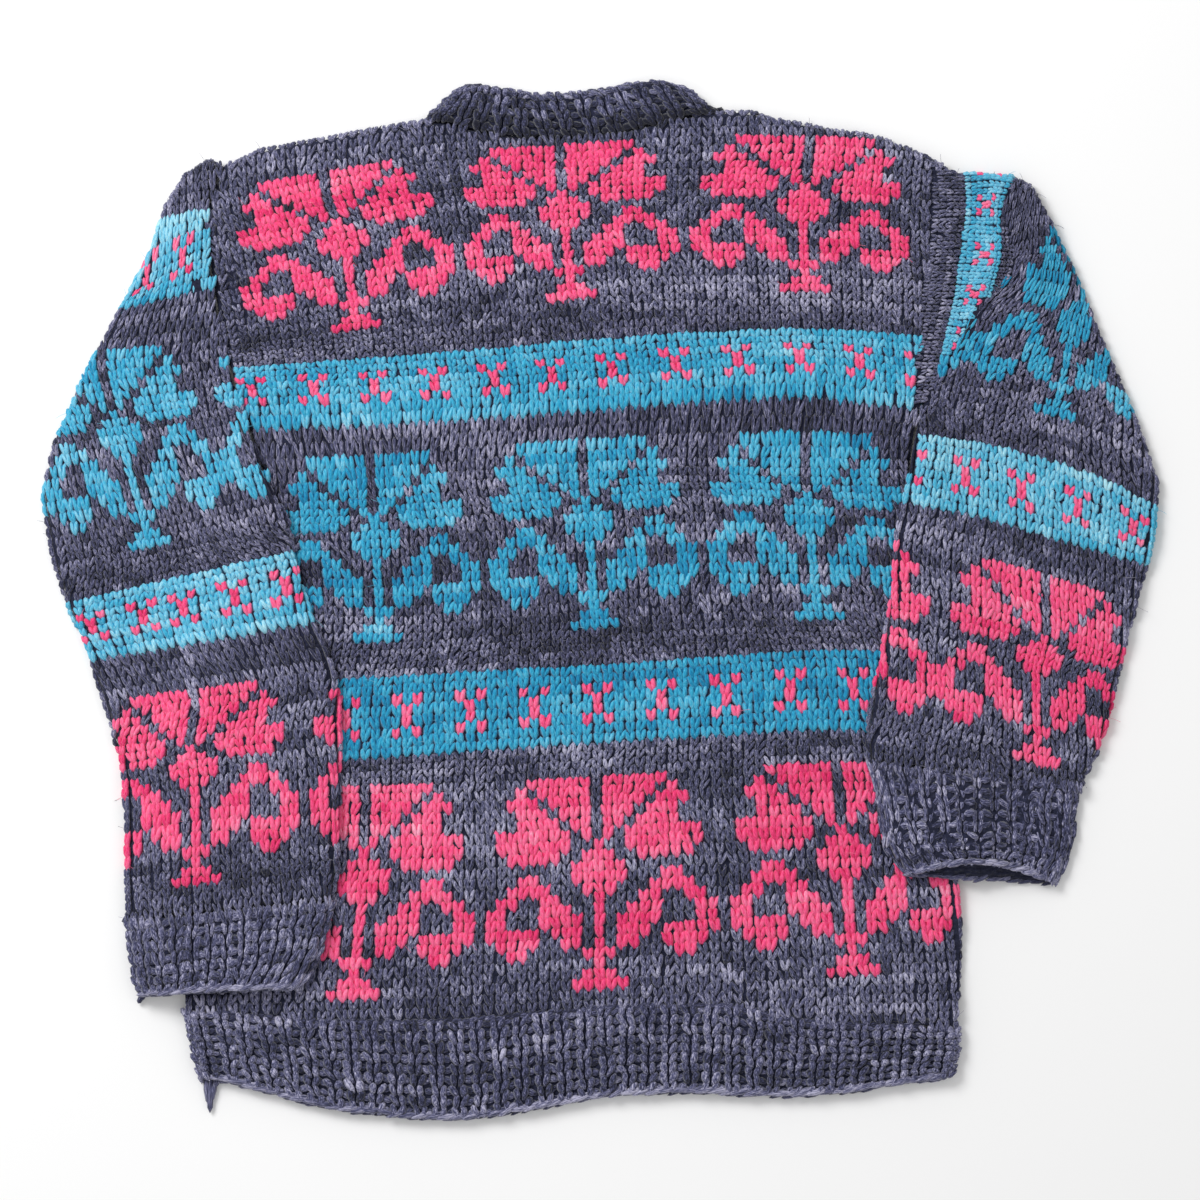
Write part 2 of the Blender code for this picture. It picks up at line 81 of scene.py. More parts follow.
# Right half of the flower repeat, centre stitch first, one row a line from the top.
FLOWER = (
    ".XXXXXX....",
    ".XXXXX.X...",
    ".XXXX.XXX..",
    ".XXX.XXX...",
    ".XX.XXXX...",
    ".X.XXXXXXX.",
    "X..XXXXXXX.",
    "XX..XXXXX..",
    "XXX........",
    "XXX...XX...",
    "XX...XXXX..",
    "X...XX..XX.",
    "X..XXX...XX",
    "X.XXXX...XX",
    "X.XXX.XXXXX",
    "X.XX..XXXX.",
    "XX.....XX..",
    "X..........",
    "XX.........",
    "XXX........",
)
FLOWER_PERIODS = {"flower": 22, "close flower": 21}
LAST_PATTERN_COLUMN = 33
# Right half of the small cross in the bands.
CROSS = (".X", "X.", "X.", ".X")
BAND_ROWS = 8
BAND_PLAIN_ROWS = 2

# Where each row of motifs starts, counted in courses from the top flower's first.
# columns: first course, kind, yarn, tone
BODY_CHART = (
    (0, "flower", PINK, 0.0),
    (25, "band", TURQUOISE, 0.04),
    (35, "flower", TURQUOISE, -0.02),
    (60, "band", TURQUOISE, -0.08),
    (72, "flower", PINK, 0.04),
)
SLEEVE_CHART = (
    (-12, "band", TURQUOISE, 0.16),
    (0, "close flower", TURQUOISE, 0.1),
    (25, "band", TURQUOISE, 0.22),
    (37, "flower", PINK, 0.02),
)
RIGHT_CHART = (
    (0, "close flower", TURQUOISE, -0.06),
    (25, "band", TURQUOISE, 0.2),
    (37, "close flower", PINK, 0.02),
)

# Body edges, as in the CAD source. columns: y, left x, right x
BODY_SIDES = (
    (-345, -287, 250),
    (-296, -298, 258),
    (-205, -294, 258),
    (-116, -284, 251),
    (-44, -272, 245),
    (14, -259, 238),
    (57, -246, 229),
    (88, -239, 222),
    (112, -250, 225),
    (143, -259, 231),
    (176, -269, 243),
    (215, -276, 253),
    (240, -280, 257),
    (271, -284, 262),
    (311, -271, 258),
)
LAP_START = 88
# columns: x, y
BACK_TOP_EDGE = (
    (-271, 311),
    (-243, 322),
    (-186, 333),
    (-153, 340),
    (-122, 344),
    (-103, 340),
    (-78, 334),
    (-45, 331),
    (-18, 330),
    (5, 333),
    (30, 339),
    (64, 347),
    (82, 349),
    (104, 350),
    (138, 342),
    (187, 334),
    (211, 328),
    (235, 317),
    (258, 305),
)
# columns: x, rib top y, cast-on y
HEM_LINES = (
    (-300, -296, -343),
    (-275, -297, -345),
    (-245, -300, -352),
    (-204, -303, -363),
    (-156, -304, -370),
    (-101, -303, -373),
    (-45, -298, -365),
    (9, -293, -356),
    (62, -292, -354),
    (95, -293, -355),
    (145, -303, -356),
    (174, -305, -354),
    (202, -306, -350),
    (227, -307, -346),
    (258, -308, -343),
)
HEM_LOWER = (-286.0, 251.0)
HEM_RIBS = 36
HEM_ROWS = 9
# columns: outer x, outer y, inner x, inner y
LEFT_SLEEVE = (
    (-271, 311, -239, 88),
    (-281, 315, -240, 84),
    (-298, 303, -238, 79),
    (-312, 281, -234, 73),
    (-322, 250, -229, 66),
    (-345, 206, -224, 55),
    (-372, 157, -221, 43),
    (-391, 112, -219, 30),
    (-400, 76, -214, 10),
    (-394, 34, -206, -18),
    (-382, -5, -196, -38),
    (-366, -44, -188, -62),
    (-353, -83, -187, -95),
    (-344, -118, -187, -130),
    (-341, -160, -187, -165),
    (-341, -200, -189, -195),
    (-340, -230, -193, -217),
)
RIGHT_SLEEVE = (
    (258, 304, 222, 88),
    (269, 305, 221, 85),
    (290, 303, 221, 82),
    (296, 302, 220, 79),
    (309, 296, 219, 76),
    (322, 272, 217, 72),
    (340, 235, 215, 64),
    (357, 193, 213, 54),
    (384, 130, 211, 38),
    (400, 84, 210, 21),
    (399, 48, 209, 2),
    (387, 4, 205, -24),
    (375, -41, 200, -50),
    (364, -88, 194, -80),
    (356, -112, 192, -101),
    (345, -132, 194, -117),
)
LEFT_CUFF = (
    (-340, -230, -193, -217),
    (-337, -250, -197, -236),
    (-333, -270, -203, -256),
    (-329, -284, -216, -278),
)
RIGHT_CUFF = (
    (345, -132, 194, -117),
    (341, -153, 200, -148),
    (338, -179, 205, -176),
    (327, -204, 220, -197),
)
CUFF_RIBS = 11
# The sleeves' last stitches run on a little under the cuffs.
PAST_LEFT_CUFF = (-339, -236, -194, -223)
PAST_RIGHT_CUFF = (344, -138, 195, -123)
# columns: share along the band, seam x, seam y, upper x, upper y
NECKBAND = (
    (0.0, -123, 344, -100, 366),
    (0.12, -101, 340, -87, 368.7),
    (0.28, -70, 333, -69, 367),
    (0.45, -32, 331, -42, 363),
    (0.62, 6, 333, -7, 366),
    (0.78, 37, 340, 20, 370.6),
    (0.9, 60, 346, 44, 372.5),
    (1.0, 81, 349, 66, 363),
)
NECK_RIBS = 13
NECK_ROWS = 5

# Nets of stitches, read from the photo: where chosen columns and courses lie.
# Each net has its columns, then one line for each course, in pixels of the photo.
BODY_NET = (
    (-33, -22, -11, 0, 11, 22, 33),
    (
        (-6, (213, 134), (322, 116), (440, 99), (560, 88), (684, 80), (808, 77), (918, 84)),
        (0, (215, 194), (323, 174), (441, 155), (560, 147), (685, 139), (809, 138), (918, 145)),
        (9, (231, 267), (344, 243), (455, 220), (564, 214), (682, 206), (803, 208), (914, 216)),
        (20, (246, 345), (358, 331), (467, 316), (573, 301), (690, 294), (805, 293), (917, 298)),
        (25, (250, 368), (362, 360), (470, 352), (578, 342), (692, 334), (806, 330), (917, 337)),
        (33, (258, 431), (368, 428), (476, 421), (583, 413), (697, 404), (809, 400), (918, 412)),
        (35, (262, 462), (370, 457), (472, 449), (582, 441), (693, 435), (806, 434), (914, 439)),
        (44, (265, 544), (376, 541), (482, 533), (589, 523), (699, 514), (809, 516), (920, 521)),
        (55, (268, 638), (378, 643), (487, 637), (595, 629), (708, 622), (820, 620), (934, 622)),
        (60, (262, 683), (369, 679), (482, 672), (597, 666), (713, 658), (829, 651), (944, 656)),
        (68, (260, 763), (366, 759), (482, 751), (598, 743), (716, 736), (834, 730), (950, 735)),
        (72, (258, 791), (366, 786), (480, 783), (596, 777), (715, 769), (836, 763), (954, 764)),
        (81, (246, 888), (363, 883), (481, 880), (599, 872), (722, 864), (844, 858), (962, 853)),
        (92, (234, 1004), (354, 1000), (478, 995), (600, 989), (727, 983), (853, 976),
         (974, 971)),
        (97, (234, 1052), (354, 1048), (478, 1043), (601, 1037), (728, 1031), (855, 1024),
         (976, 1019)),
    ),
)
LEFT_NET = (
    (-10, 0, 10, 16),
    (
        (-17, (75, 215), (140, 190), (205, 165), (248, 152)),
        (-12, (75, 252), (138, 228), (207, 212), (255, 205)),
        (-8, (70, 320), (134, 286), (207, 252), (256, 243)),
        (-4, (38, 332), (120, 312), (205, 292), (255, 283)),
        (0, (14, 365), (104, 353), (197, 343), (252, 333)),
        (6, (30, 425), (115, 412), (203, 399), (256, 389)),
        (10, (44, 460), (125, 446), (211, 430), (262, 420)),
        (13, (51, 493), (134, 480), (220, 464), (271, 452)),
        (18, (62, 548), (149, 532), (235, 514), (287, 503)),
        (21, (66, 572), (155, 555), (243, 538), (296, 527)),
        (25, (60, 605), (160, 583), (260, 560), (320, 547)),
        (33, (76, 664), (176, 648), (276, 631), (336, 620)),
        (37, (96, 704), (196, 690), (294, 676), (353, 667)),
        (43, (94, 760), (193, 745), (291, 731), (350, 722)),
        (47, (98, 796), (197, 777), (295, 770), (354, 761)),
        (55, (100, 883), (199, 867), (297, 857), (356, 848)),
        (58, (101, 907), (200, 893), (298, 879), (357, 870)),
        (60, (102, 928), (201, 914), (299, 900), (358, 891)),
    ),
)
RIGHT_NET = (
    (-16, -10, -5, 0, 5, 10),
    (
        (-4, (1008, 205), (1038, 186), (1060, 184), (1088, 184), (1110, 190), (1130, 200)),
        (0, (1000, 245), (1029, 230), (1056, 228), (1087, 226), (1112, 236), (1134, 252)),
        (2, (988, 258), (1028, 251), (1057, 247), (1087, 245), (1112, 257), (1134, 275)),
        (5, (978, 268), (1023, 268), (1054, 274), (1085, 278), (1110, 295), (1134, 318)),
        (6.5, (970, 283), (1018, 286), (1051, 293), (1081, 297), (1109, 312), (1136, 334)),
        (8, (958, 295), (1005, 300), (1044, 310), (1075, 315), (1107, 330), (1138, 351)),
        (10, (945, 311), (994, 314), (1036, 326), (1069, 337), (1105, 350), (1140, 371)),
        (13.5, (925, 340), (976, 350), (1023, 359), (1064, 366), (1102, 379), (1142, 401)),
        (17, (913, 372), (968, 380), (1016, 385), (1058, 393), (1099, 407), (1144, 429)),
        (21, (905, 405), (958, 411), (1008, 417), (1050, 426), (1094, 441), (1146, 463)),
        (25, (904, 435), (957, 441), (1002, 449), (1049, 463), (1096, 478), (1144, 501)),
        (33, (894, 502), (950, 513), (1000, 524), (1046, 538), (1091, 551), (1137, 564)),
        (37, (886, 540), (944, 551), (995, 562), (1044, 576), (1089, 589), (1134, 601)),
        (43, (884, 600), (943, 611), (994, 622), (1044, 636), (1088, 648), (1130, 660)),
        (47, (883, 635), (940, 646), (988, 656), (1036, 666), (1080, 677), (1122, 688)),
        (55, (877, 718), (934, 728), (985, 736), (1036, 746), (1080, 755), (1120, 763)),
        (58, (868, 742), (928, 752), (982, 762), (1036, 774), (1078, 782), (1118, 790)),
        (60, (867, 760), (927, 770), (981, 780), (1035, 792), (1077, 799), (1116, 807)),
    ),
)
# The strip of the right sleeve beside its seam, where the rows run up the picture.
CAP_NET = (
    (-27, -21, -15, -9, -3),
    (
        (-17, (914, 337), (922, 294), (929, 254), (933, 207), (930, 166)),
        (-12, (945, 338), (954, 296), (960, 254), (966, 206), (963, 168)),
        (-8, (962, 340), (974, 296), (985, 256), (986, 206), (992, 166)),
        (-4, (982, 342), (989, 297), (999, 257), (1001, 207), (1018, 170)),
    ),
)
SEAM_PIXELS = ((938, 160), (933, 207), (930, 254), (925, 292), (918, 335), (917, 380),
               (913, 420))
CREASE_PIXELS = (
    (913, 420),
    (930, 392),
    (945, 359),
    (958, 343),
    (968, 322),
    (978, 306),
    (997, 290),
    (1012, 272),
    (1014, 252),
    (1008, 238),
    (1001, 222),
    (1000, 204),
    (1008, 191),
    (1020, 184),
    (1024, 160),
)


def mm_place(pixel):
    """A pixel of the photo as a place on the surface, in millimetres."""
    x = (pixel[0] - PHOTO_CENTRE[0]) * PHOTO_SCALE
    return x, (PHOTO_CENTRE[1] - pixel[1]) * PHOTO_SCALE


def smooth_lookup(keys, values, wanted):
    """Values at the wanted keys, on smooth curves that go on straight past the ends."""
    keys = np.asarray(keys, float)
    values = np.asarray(values, float)
    wanted = np.asarray(wanted, float)
    slopes = np.gradient(values, keys, axis=0)
    index = np.clip(np.searchsorted(keys, wanted) - 1, 0, len(keys) - 2)
    span = keys[index + 1] - keys[index]
    t = (wanted - keys[index]) / span
    held = np.clip(t, 0.0, 1.0)
    beyond = (t - held) * span
    shape = (-1,) + (1,) * (values.ndim - 1)
    held, beyond, span = held.reshape(shape), beyond.reshape(shape), span.reshape(shape)
    start, end = values[index], values[index + 1]
    slope_a, slope_b = slopes[index] * span, slopes[index + 1] * span
    curve = start + slope_a * held
    curve += (3 * (end - start) - 2 * slope_a - slope_b) * held**2
    curve += (slope_a + slope_b - 2 * (end - start)) * held**3
    past = np.where(beyond < 0, slopes[index], slopes[index + 1])
    return curve + past * beyond


def net_places(net, columns, courses):
    """Places in millimetres for each course (first axis) and column (second)."""
    keys, lines = net
    pixels = np.array([line[1:] for line in lines], float)
    across = smooth_lookup(keys, pixels.transpose(1, 0, 2), columns)
    both = smooth_lookup([line[0] for line in lines], across.transpose(1, 0, 2), courses)
    x = (both[..., 0] - PHOTO_CENTRE[0]) * PHOTO_SCALE
    return np.stack([x, (PHOTO_CENTRE[1] - both[..., 1]) * PHOTO_SCALE], axis=-1)


def inside(places, polygon):
    """Which places lie inside a closed polygon."""
    x, y = places[..., 0], places[..., 1]
    within = np.zeros(x.shape, bool)
    for (x0, y0), (x1, y1) in zip(polygon, polygon[1:] + polygon[:1]):
        if y0 == y1:
            continue
        crosses = (y0 > y) != (y1 > y)
        within ^= crosses & (x < (x1 - x0) * (y - y0) / (y1 - y0) + x0)
    return within


def past_line(places, line):
    """How far places lie to the left of an open line.

    Returns the distances, the nearest points on the line, the way out from it, and which
    places are past its ends.
    """
    best = np.full(places.shape[:-1], np.inf)
    near = np.zeros(places.shape)
    out = np.zeros(places.shape)
    ends = np.zeros(places.shape[:-1], bool)
    for number, (a, b) in enumerate(zip(line, line[1:])):
        a, b = np.array(a, float), np.array(b, float)
        step = b - a
        t = ((places - a) @ step) / (step @ step)
        outside_ends = (t < 0) & (number == 0) | (t > 1) & (number == len(line) - 2)
        point = a + np.clip(t, 0, 1)[..., None] * step
        distance = np.linalg.norm(places - point, axis=-1)
        closer = distance < best
        best = np.where(closer, distance, best)
        near[closer] = point[closer]
        out[closer] = np.array((-step[1], step[0])) / np.linalg.norm(step)
        ends = np.where(closer, outside_ends, ends)
    signed = ((places - near) * out).sum(axis=-1)
    signed = np.where(signed < 0, -best, best)
    return signed, near, out, ends


def middle_of_nine(grid):
    """Each value replaced by the middle one of those around it, gaps filled."""
    padded = np.pad(grid, 1, mode="edge")
    rows, columns = grid.shape
    around = [padded[i:i + rows, j:j + columns] for i in range(3) for j in range(3)]
    stack = np.stack(around)
    filled = np.where(np.isnan(stack).all(axis=0), 0.0, stack)
    result = np.nanmedian(filled, axis=0)
    empty = np.isnan(stack).all(axis=0)
    result[empty] = np.nanmedian(grid) if np.isfinite(grid).any() else 8.0
    return result


def surface_heights(tree, places, direction):
    """Heights where straight lines from above (-1) or below (1) meet the cloth."""
    heights = np.full(places.shape[:-1], np.nan)
    for index in np.ndindex(heights.shape):
        x, y = places[index]
        start = Vector((x * MM, y * MM, -direction * 0.1))
        hit = tree.ray_cast(start, Vector((0, 0, direction)))[0]
        if hit is not None:
            heights[index] = hit.z / MM
    return middle_of_nine(heights)


def lay_on(tree, flat, folds, under):
    """Lay flat places on the cloth, rolled over its folded edges.

    Returns points, how far each one is round a fold in radians, and the heights of the
    cloth's underside.
    """
    round_edge = np.zeros(flat.shape[:-1])
    base = flat.copy()
    push = np.zeros(flat.shape)
    radii = np.ones(flat.shape[:-1])
    for line, radius in folds:
        signed, near, out, ends = past_line(flat, line)
        chosen = (signed + radius > round_edge) & ~ends
        round_edge = np.where(chosen, signed + radius, round_edge)
        base[chosen] = (near - out * radius)[chosen]
        push[chosen] = out[chosen]
        radii[chosen] = radius
    top = surface_heights(tree, base, -1)
    bottom = surface_heights(tree, base, 1)
    middle, half = (top + bottom) / 2.0, (top - bottom) / 2.0
    angle = round_edge / ((radii + np.maximum(half, radii * 0.5)) / 2.0)
    turn = np.clip(angle, 0.0, math.pi)
    side = -1.0 if under else 1.0
    xy = base + push * (radii * np.sin(turn))[..., None]
    z = middle + side * half * np.cos(turn)
    points = np.concatenate([xy, z[..., None]], axis=-1)
    return points, angle, bottom


def ramp_noise(seed, rows, columns, spacing):
    """Soft streaks along the rows, about as long as spacing columns."""
    random = np.random.default_rng(seed)
    knots = columns // spacing + 3
    coarse = random.normal(size=(rows, knots))
    for row in range(1, rows):
        coarse[row] = 0.45 * coarse[row - 1] + 0.8 * coarse[row]
    where = np.arange(columns) / spacing
    shifts = random.uniform(0, 1, rows)
    return np.array([np.interp(where + shift, np.arange(knots), line)
                     for shift, line in zip(shifts, coarse)])


def cross_here(columns_away, row):
    """Whether the small cross has a stitch here."""
    return columns_away in (0, 1) and CROSS[row][columns_away] == "X"


def band_column(column, cross_columns):
    """How far a column is from the nearest cross."""
    if cross_columns == "by five":
        return min(abs(abs(column) - centre) for centre in (2, 7, 12, 17))
    offset = 3 if cross_columns == "odd threes" else 0
    return abs((column - offset + 3) % 6 - 3)


def stitch_yarn(chart, crosses, column, course):
    """The yarn of one stitch and its shade."""
    for first, kind, yarn, tone in chart:
        row = course - first
        if kind == "band" and 0 <= row < BAND_ROWS:
            inner = row - BAND_PLAIN_ROWS
            away = band_column(column, crosses[first])
            if 0 <= inner < len(CROSS) and cross_here(away, inner):
                return PINK, CROSS_TONE
            return yarn, tone
        if kind in FLOWER_PERIODS and 0 <= row < len(FLOWER):
            period = FLOWER_PERIODS[kind]
            away = abs((column + period // 2) % period - period // 2)
            charted = abs(column) <= LAST_PATTERN_COLUMN and away < len(FLOWER[row])
            if charted and FLOWER[row][away] == "X":
                return yarn, tone
            return NAVY, 0.0
    return NAVY, 0.0


def node_tree_sockets(tree, sockets):
    """Add the named inputs of a geometry tree, and its output."""
    for name, kind, value in sockets:
        socket = tree.interface.new_socket(name, in_out="INPUT", socket_type=kind)
        if value is not None:
            socket.default_value = value
    tree.interface.new_socket("Geometry", in_out="OUTPUT", socket_type="NodeSocketGeometry")


def add_node(tree, kind, inputs=(), **settings):
    """Add a node; inputs are pairs of a socket's name or number and a value or link."""
    node = tree.nodes.new(kind)
    for name, value in settings.items():
        setattr(node, name, value)
    for key, value in inputs:
        socket = node.inputs[key]
        if isinstance(value, bpy.types.NodeSocket):
            tree.links.new(value, socket)
        else:
            socket.default_value = value
    return node


def calculate(tree, operation, *values):
    """A math node's result."""
    node = add_node(tree, "ShaderNodeMath", list(enumerate(values)), operation=operation)
    return node.outputs[0]


def vector_result(tree, operation, *values):
    """A vector math node's result."""
    node = add_node(tree, "ShaderNodeVectorMath", operation=operation)
    for key, value in enumerate(values):
        key = "Scale" if operation == "SCALE" and key == 1 else key
        if isinstance(value, bpy.types.NodeSocket):
            tree.links.new(value, node.inputs[key])
        else:
            node.inputs[key].default_value = value
    return node.outputs[0]


def named_vector(tree, name):
    """A vector attribute of the stitch points."""
    node = add_node(tree, "GeometryNodeInputNamedAttribute", data_type="FLOAT_VECTOR")
    node.inputs["Name"].default_value = name
    return node.outputs["Attribute"]


def stitch_tree():
    """Geometry tree that turns points with an across, up and out vector into stitches."""
    tree = bpy.data.node_groups.new("knit stitches", "GeometryNodeTree")
    node_tree_sockets(tree, (
        ("Geometry", "NodeSocketGeometry", None),
        ("Leg sides", "NodeSocketInt", 5),
        ("Leg rings", "NodeSocketInt", 4),
        ("Leg width", "NodeSocketFloat", 0.235),
        ("Leg length", "NodeSocketFloat", 0.74),
        ("Leg depth", "NodeSocketFloat", 0.0019),
        ("Top spread", "NodeSocketFloat", 0.35),
        ("Bottom spread", "NodeSocketFloat", 0.055),
        ("Arch", "NodeSocketFloat", 0.001),
        ("Tuck", "NodeSocketFloat", 0.0016),
        ("Two legs", "NodeSocketBool", True),
        ("Wool", "NodeSocketMaterial", None),
    ))
    start = add_node(tree, "NodeGroupInput")
    given = start.outputs
    ball = add_node(tree, "GeometryNodeMeshUVSphere", (
        ("Segments", given["Leg sides"]), ("Rings", given["Leg rings"]), ("Radius", 1.0)))
    place = add_node(tree, "GeometryNodeInputPosition")
    parts = add_node(tree, "ShaderNodeSeparateXYZ", ((0, place.outputs[0]),))
    x, y, t = parts.outputs
    upward = calculate(tree, "MULTIPLY_ADD", t, 0.5, 0.5)
    downward = calculate(tree, "SUBTRACT", 1.0, upward)
    spread_gain = calculate(tree, "SUBTRACT", given["Top spread"], given["Bottom spread"])
    centre = calculate(tree, "MULTIPLY_ADD", spread_gain, upward, given["Bottom spread"])
    slim = calculate(tree, "MULTIPLY_ADD", downward, -0.35, 1.15)
    width = calculate(tree, "MULTIPLY", given["Leg width"], slim)
    across = calculate(tree, "MULTIPLY_ADD", x, width, centre)
    along = calculate(tree, "MULTIPLY", t, given["Leg length"])
    depth = calculate(tree, "MULTIPLY", given["Leg depth"], -1.0)
    round_part = calculate(tree, "MULTIPLY", y, depth)
    bend = calculate(tree, "SUBTRACT", 1.0, calculate(tree, "MULTIPLY", t, t))
    arched = calculate(tree, "MULTIPLY_ADD", bend, given["Arch"], round_part)
    lower_half = calculate(tree, "MULTIPLY", downward, downward)
    tucked = calculate(tree, "MULTIPLY", lower_half, given["Tuck"])
    raised = calculate(tree, "SUBTRACT", arched, tucked)
    shaped = add_node(tree, "ShaderNodeCombineXYZ", ((0, across), (1, along), (2, raised)))
    leg = add_node(tree, "GeometryNodeSetPosition", (
        ("Geometry", ball.outputs["Mesh"]), ("Position", shaped.outputs[0])))
    mirrored = add_node(tree, "GeometryNodeTransform", (
        ("Geometry", leg.outputs[0]), ("Scale", (-1.0, 1.0, 1.0))))
    flipped = add_node(tree, "GeometryNodeFlipFaces", (("Mesh", mirrored.outputs[0]),))
    both = add_node(tree, "GeometryNodeJoinGeometry")
    tree.links.new(leg.outputs[0], both.inputs[0])
    tree.links.new(flipped.outputs[0], both.inputs[0])
    choice = add_node(tree, "GeometryNodeSwitch", (
        ("Switch", given["Two legs"]), ("False", leg.outputs[0]), ("True", both.outputs[0])),
        input_type="GEOMETRY")
    inner = add_node(tree, "GeometryNodeInputPosition")
    stored = add_node(tree, "GeometryNodeStoreNamedAttribute", (
        ("Geometry", choice.outputs[0]), ("Name", "local"), ("Value", inner.outputs[0])),
        data_type="FLOAT_VECTOR", domain="POINT")
    spots = add_node(tree, "GeometryNodeMeshToPoints", (("Mesh", given["Geometry"]),))
    copies = add_node(tree, "GeometryNodeInstanceOnPoints", (
        ("Points", spots.outputs[0]), ("Instance", stored.outputs[0])))
    real = add_node(tree, "GeometryNodeRealizeInstances", (("Geometry", copies.outputs[0]),))
    local = add_node(tree, "ShaderNodeSeparateXYZ", ((0, named_vector(tree, "local")),))
    moved = vector_result(tree, "SCALE", named_vector(tree, "across"), local.outputs[0])
    for name, part in (("up", 1), ("out", 2)):
        step = vector_result(tree, "SCALE", named_vector(tree, name), local.outputs[part])
        moved = vector_result(tree, "ADD", moved, step)
    final = vector_result(tree, "ADD", moved, named_vector(tree, "centre"))
    placed = add_node(tree, "GeometryNodeSetPosition", (
        ("Geometry", real.outputs[0]), ("Position", final)))
    smooth = add_node(tree, "GeometryNodeSetShadeSmooth", (("Geometry", placed.outputs[0]),))
    dressed = add_node(tree, "GeometryNodeSetMaterial", (
        ("Geometry", smooth.outputs[0]), ("Material", given["Wool"])))
    add_node(tree, "NodeGroupOutput", ((0, dressed.outputs[0]),))
    return tree


def fibre_tree():
    """Geometry tree that gives drawn lines the body of a fine hair."""
    tree = bpy.data.node_groups.new("loose fibres", "GeometryNodeTree")
    node_tree_sockets(tree, (
        ("Geometry", "NodeSocketGeometry", None),
        ("Radius", "NodeSocketFloat", 0.00012),
        ("Wool", "NodeSocketMaterial", None),
    ))
    given = add_node(tree, "NodeGroupInput").outputs
    lines = add_node(tree, "GeometryNodeMeshToCurve", (("Mesh", given["Geometry"]),))
    ring = add_node(tree, "GeometryNodeCurvePrimitiveCircle", (
        ("Resolution", 3), ("Radius", given["Radius"])))
    body = add_node(tree, "GeometryNodeCurveToMesh", (
        ("Curve", lines.outputs[0]), ("Profile Curve", ring.outputs[0]), ("Fill Caps", True)))
    smooth = add_node(tree, "GeometryNodeSetShadeSmooth", (("Geometry", body.outputs[0]),))
    real = add_node(tree, "GeometryNodeRealizeInstances", (("Geometry", smooth.outputs[0]),))
    dressed = add_node(tree, "GeometryNodeSetMaterial", (
        ("Geometry", real.outputs[0]), ("Material", given["Wool"])))
    add_node(tree, "NodeGroupOutput", ((0, dressed.outputs[0]),))
    return tree


def run_tree(name, mesh, tree, values):
    """Evaluate a geometry tree on a mesh and keep the result as a plain mesh object."""
    carrier = bpy.data.objects.new(name + "_points", mesh)
    bpy.context.scene.collection.objects.link(carrier)
    modifier = carrier.modifiers.new("knit", "NODES")
    modifier.node_group = tree
    identifiers = {item.name: item.identifier for item in tree.interface.items_tree
                   if item.item_type == "SOCKET" and item.in_out == "INPUT"}
    for key, value in values.items():
        modifier[identifiers[key]] = value
    depsgraph = bpy.context.evaluated_depsgraph_get()
    depsgraph.update()
    result = bpy.data.meshes.new_from_object(carrier.evaluated_get(depsgraph))
    bpy.data.objects.remove(carrier, do_unlink=True)
    result.name = name
    places = np.empty(len(result.vertices) * 3, np.float32)
    result.vertices.foreach_get("co", places)
    places[2::3] = np.maximum(places[2::3], PRESSED_HEIGHT * MM)
    result.vertices.foreach_set("co", places)
    result.update()
    for extra in ("across", "up", "out", "centre"):
        if extra in result.attributes:
            result.attributes.remove(result.attributes[extra])
    piece = bpy.data.objects.new(name, result)
    bpy.context.scene.collection.objects.link(piece)
    return piece


def vector_attribute(mesh, name, values):
    """Store a vector for each point of a mesh."""
    layer = mesh.attributes.new(name, "FLOAT_VECTOR", "POINT")
    layer.data.foreach_set("vector", np.ascontiguousarray(values, np.float32).ravel())


def number_attribute(mesh, name, values):
    """Store a number for each point of a mesh."""
    layer = mesh.attributes.new(name, "FLOAT", "POINT")
    layer.data.foreach_set("value", np.ascontiguousarray(values, np.float32).ravel())


STITCHES = stitch_tree()
FIBRES = fibre_tree()


def knit(name, stitches, wool, **values):
    """Make one piece from stitches: centre, across, up, out (mm), tone and seed."""
    centre, across, up, out, tone, seed = stitches
    mesh = bpy.data.meshes.new(name + "_points")
    mesh.vertices.add(len(centre))
    mesh.vertices.foreach_set("co", (centre * MM).astype(np.float32).ravel())
    vector_attribute(mesh, "centre", centre * MM)
    vector_attribute(mesh, "across", across * MM)
    vector_attribute(mesh, "up", up * MM)
    vector_attribute(mesh, "out", out)
    number_attribute(mesh, "tone", tone)
    number_attribute(mesh, "seed", seed)
    return run_tree(name, mesh, STITCHES, {"Wool": wool, **values})


def frames_of(points):
    """Across, up and outward vectors at each point of a laid lattice."""
    across = np.gradient(points, axis=1)
    up = -np.gradient(points, axis=0)
    out = np.cross(across, up)
    out /= np.maximum(np.linalg.norm(out, axis=-1, keepdims=True), 1e-9)
    return across, up, out


def stitch_table(rows):
    """Rows of centre, across, up, out, tone and seed as the columns that knit takes."""
    table = np.array(rows)
    vectors = [table[:, first:first + 3] for first in (0, 3, 6, 9)]
    return (*vectors, table[:, 12], table[:, 13])


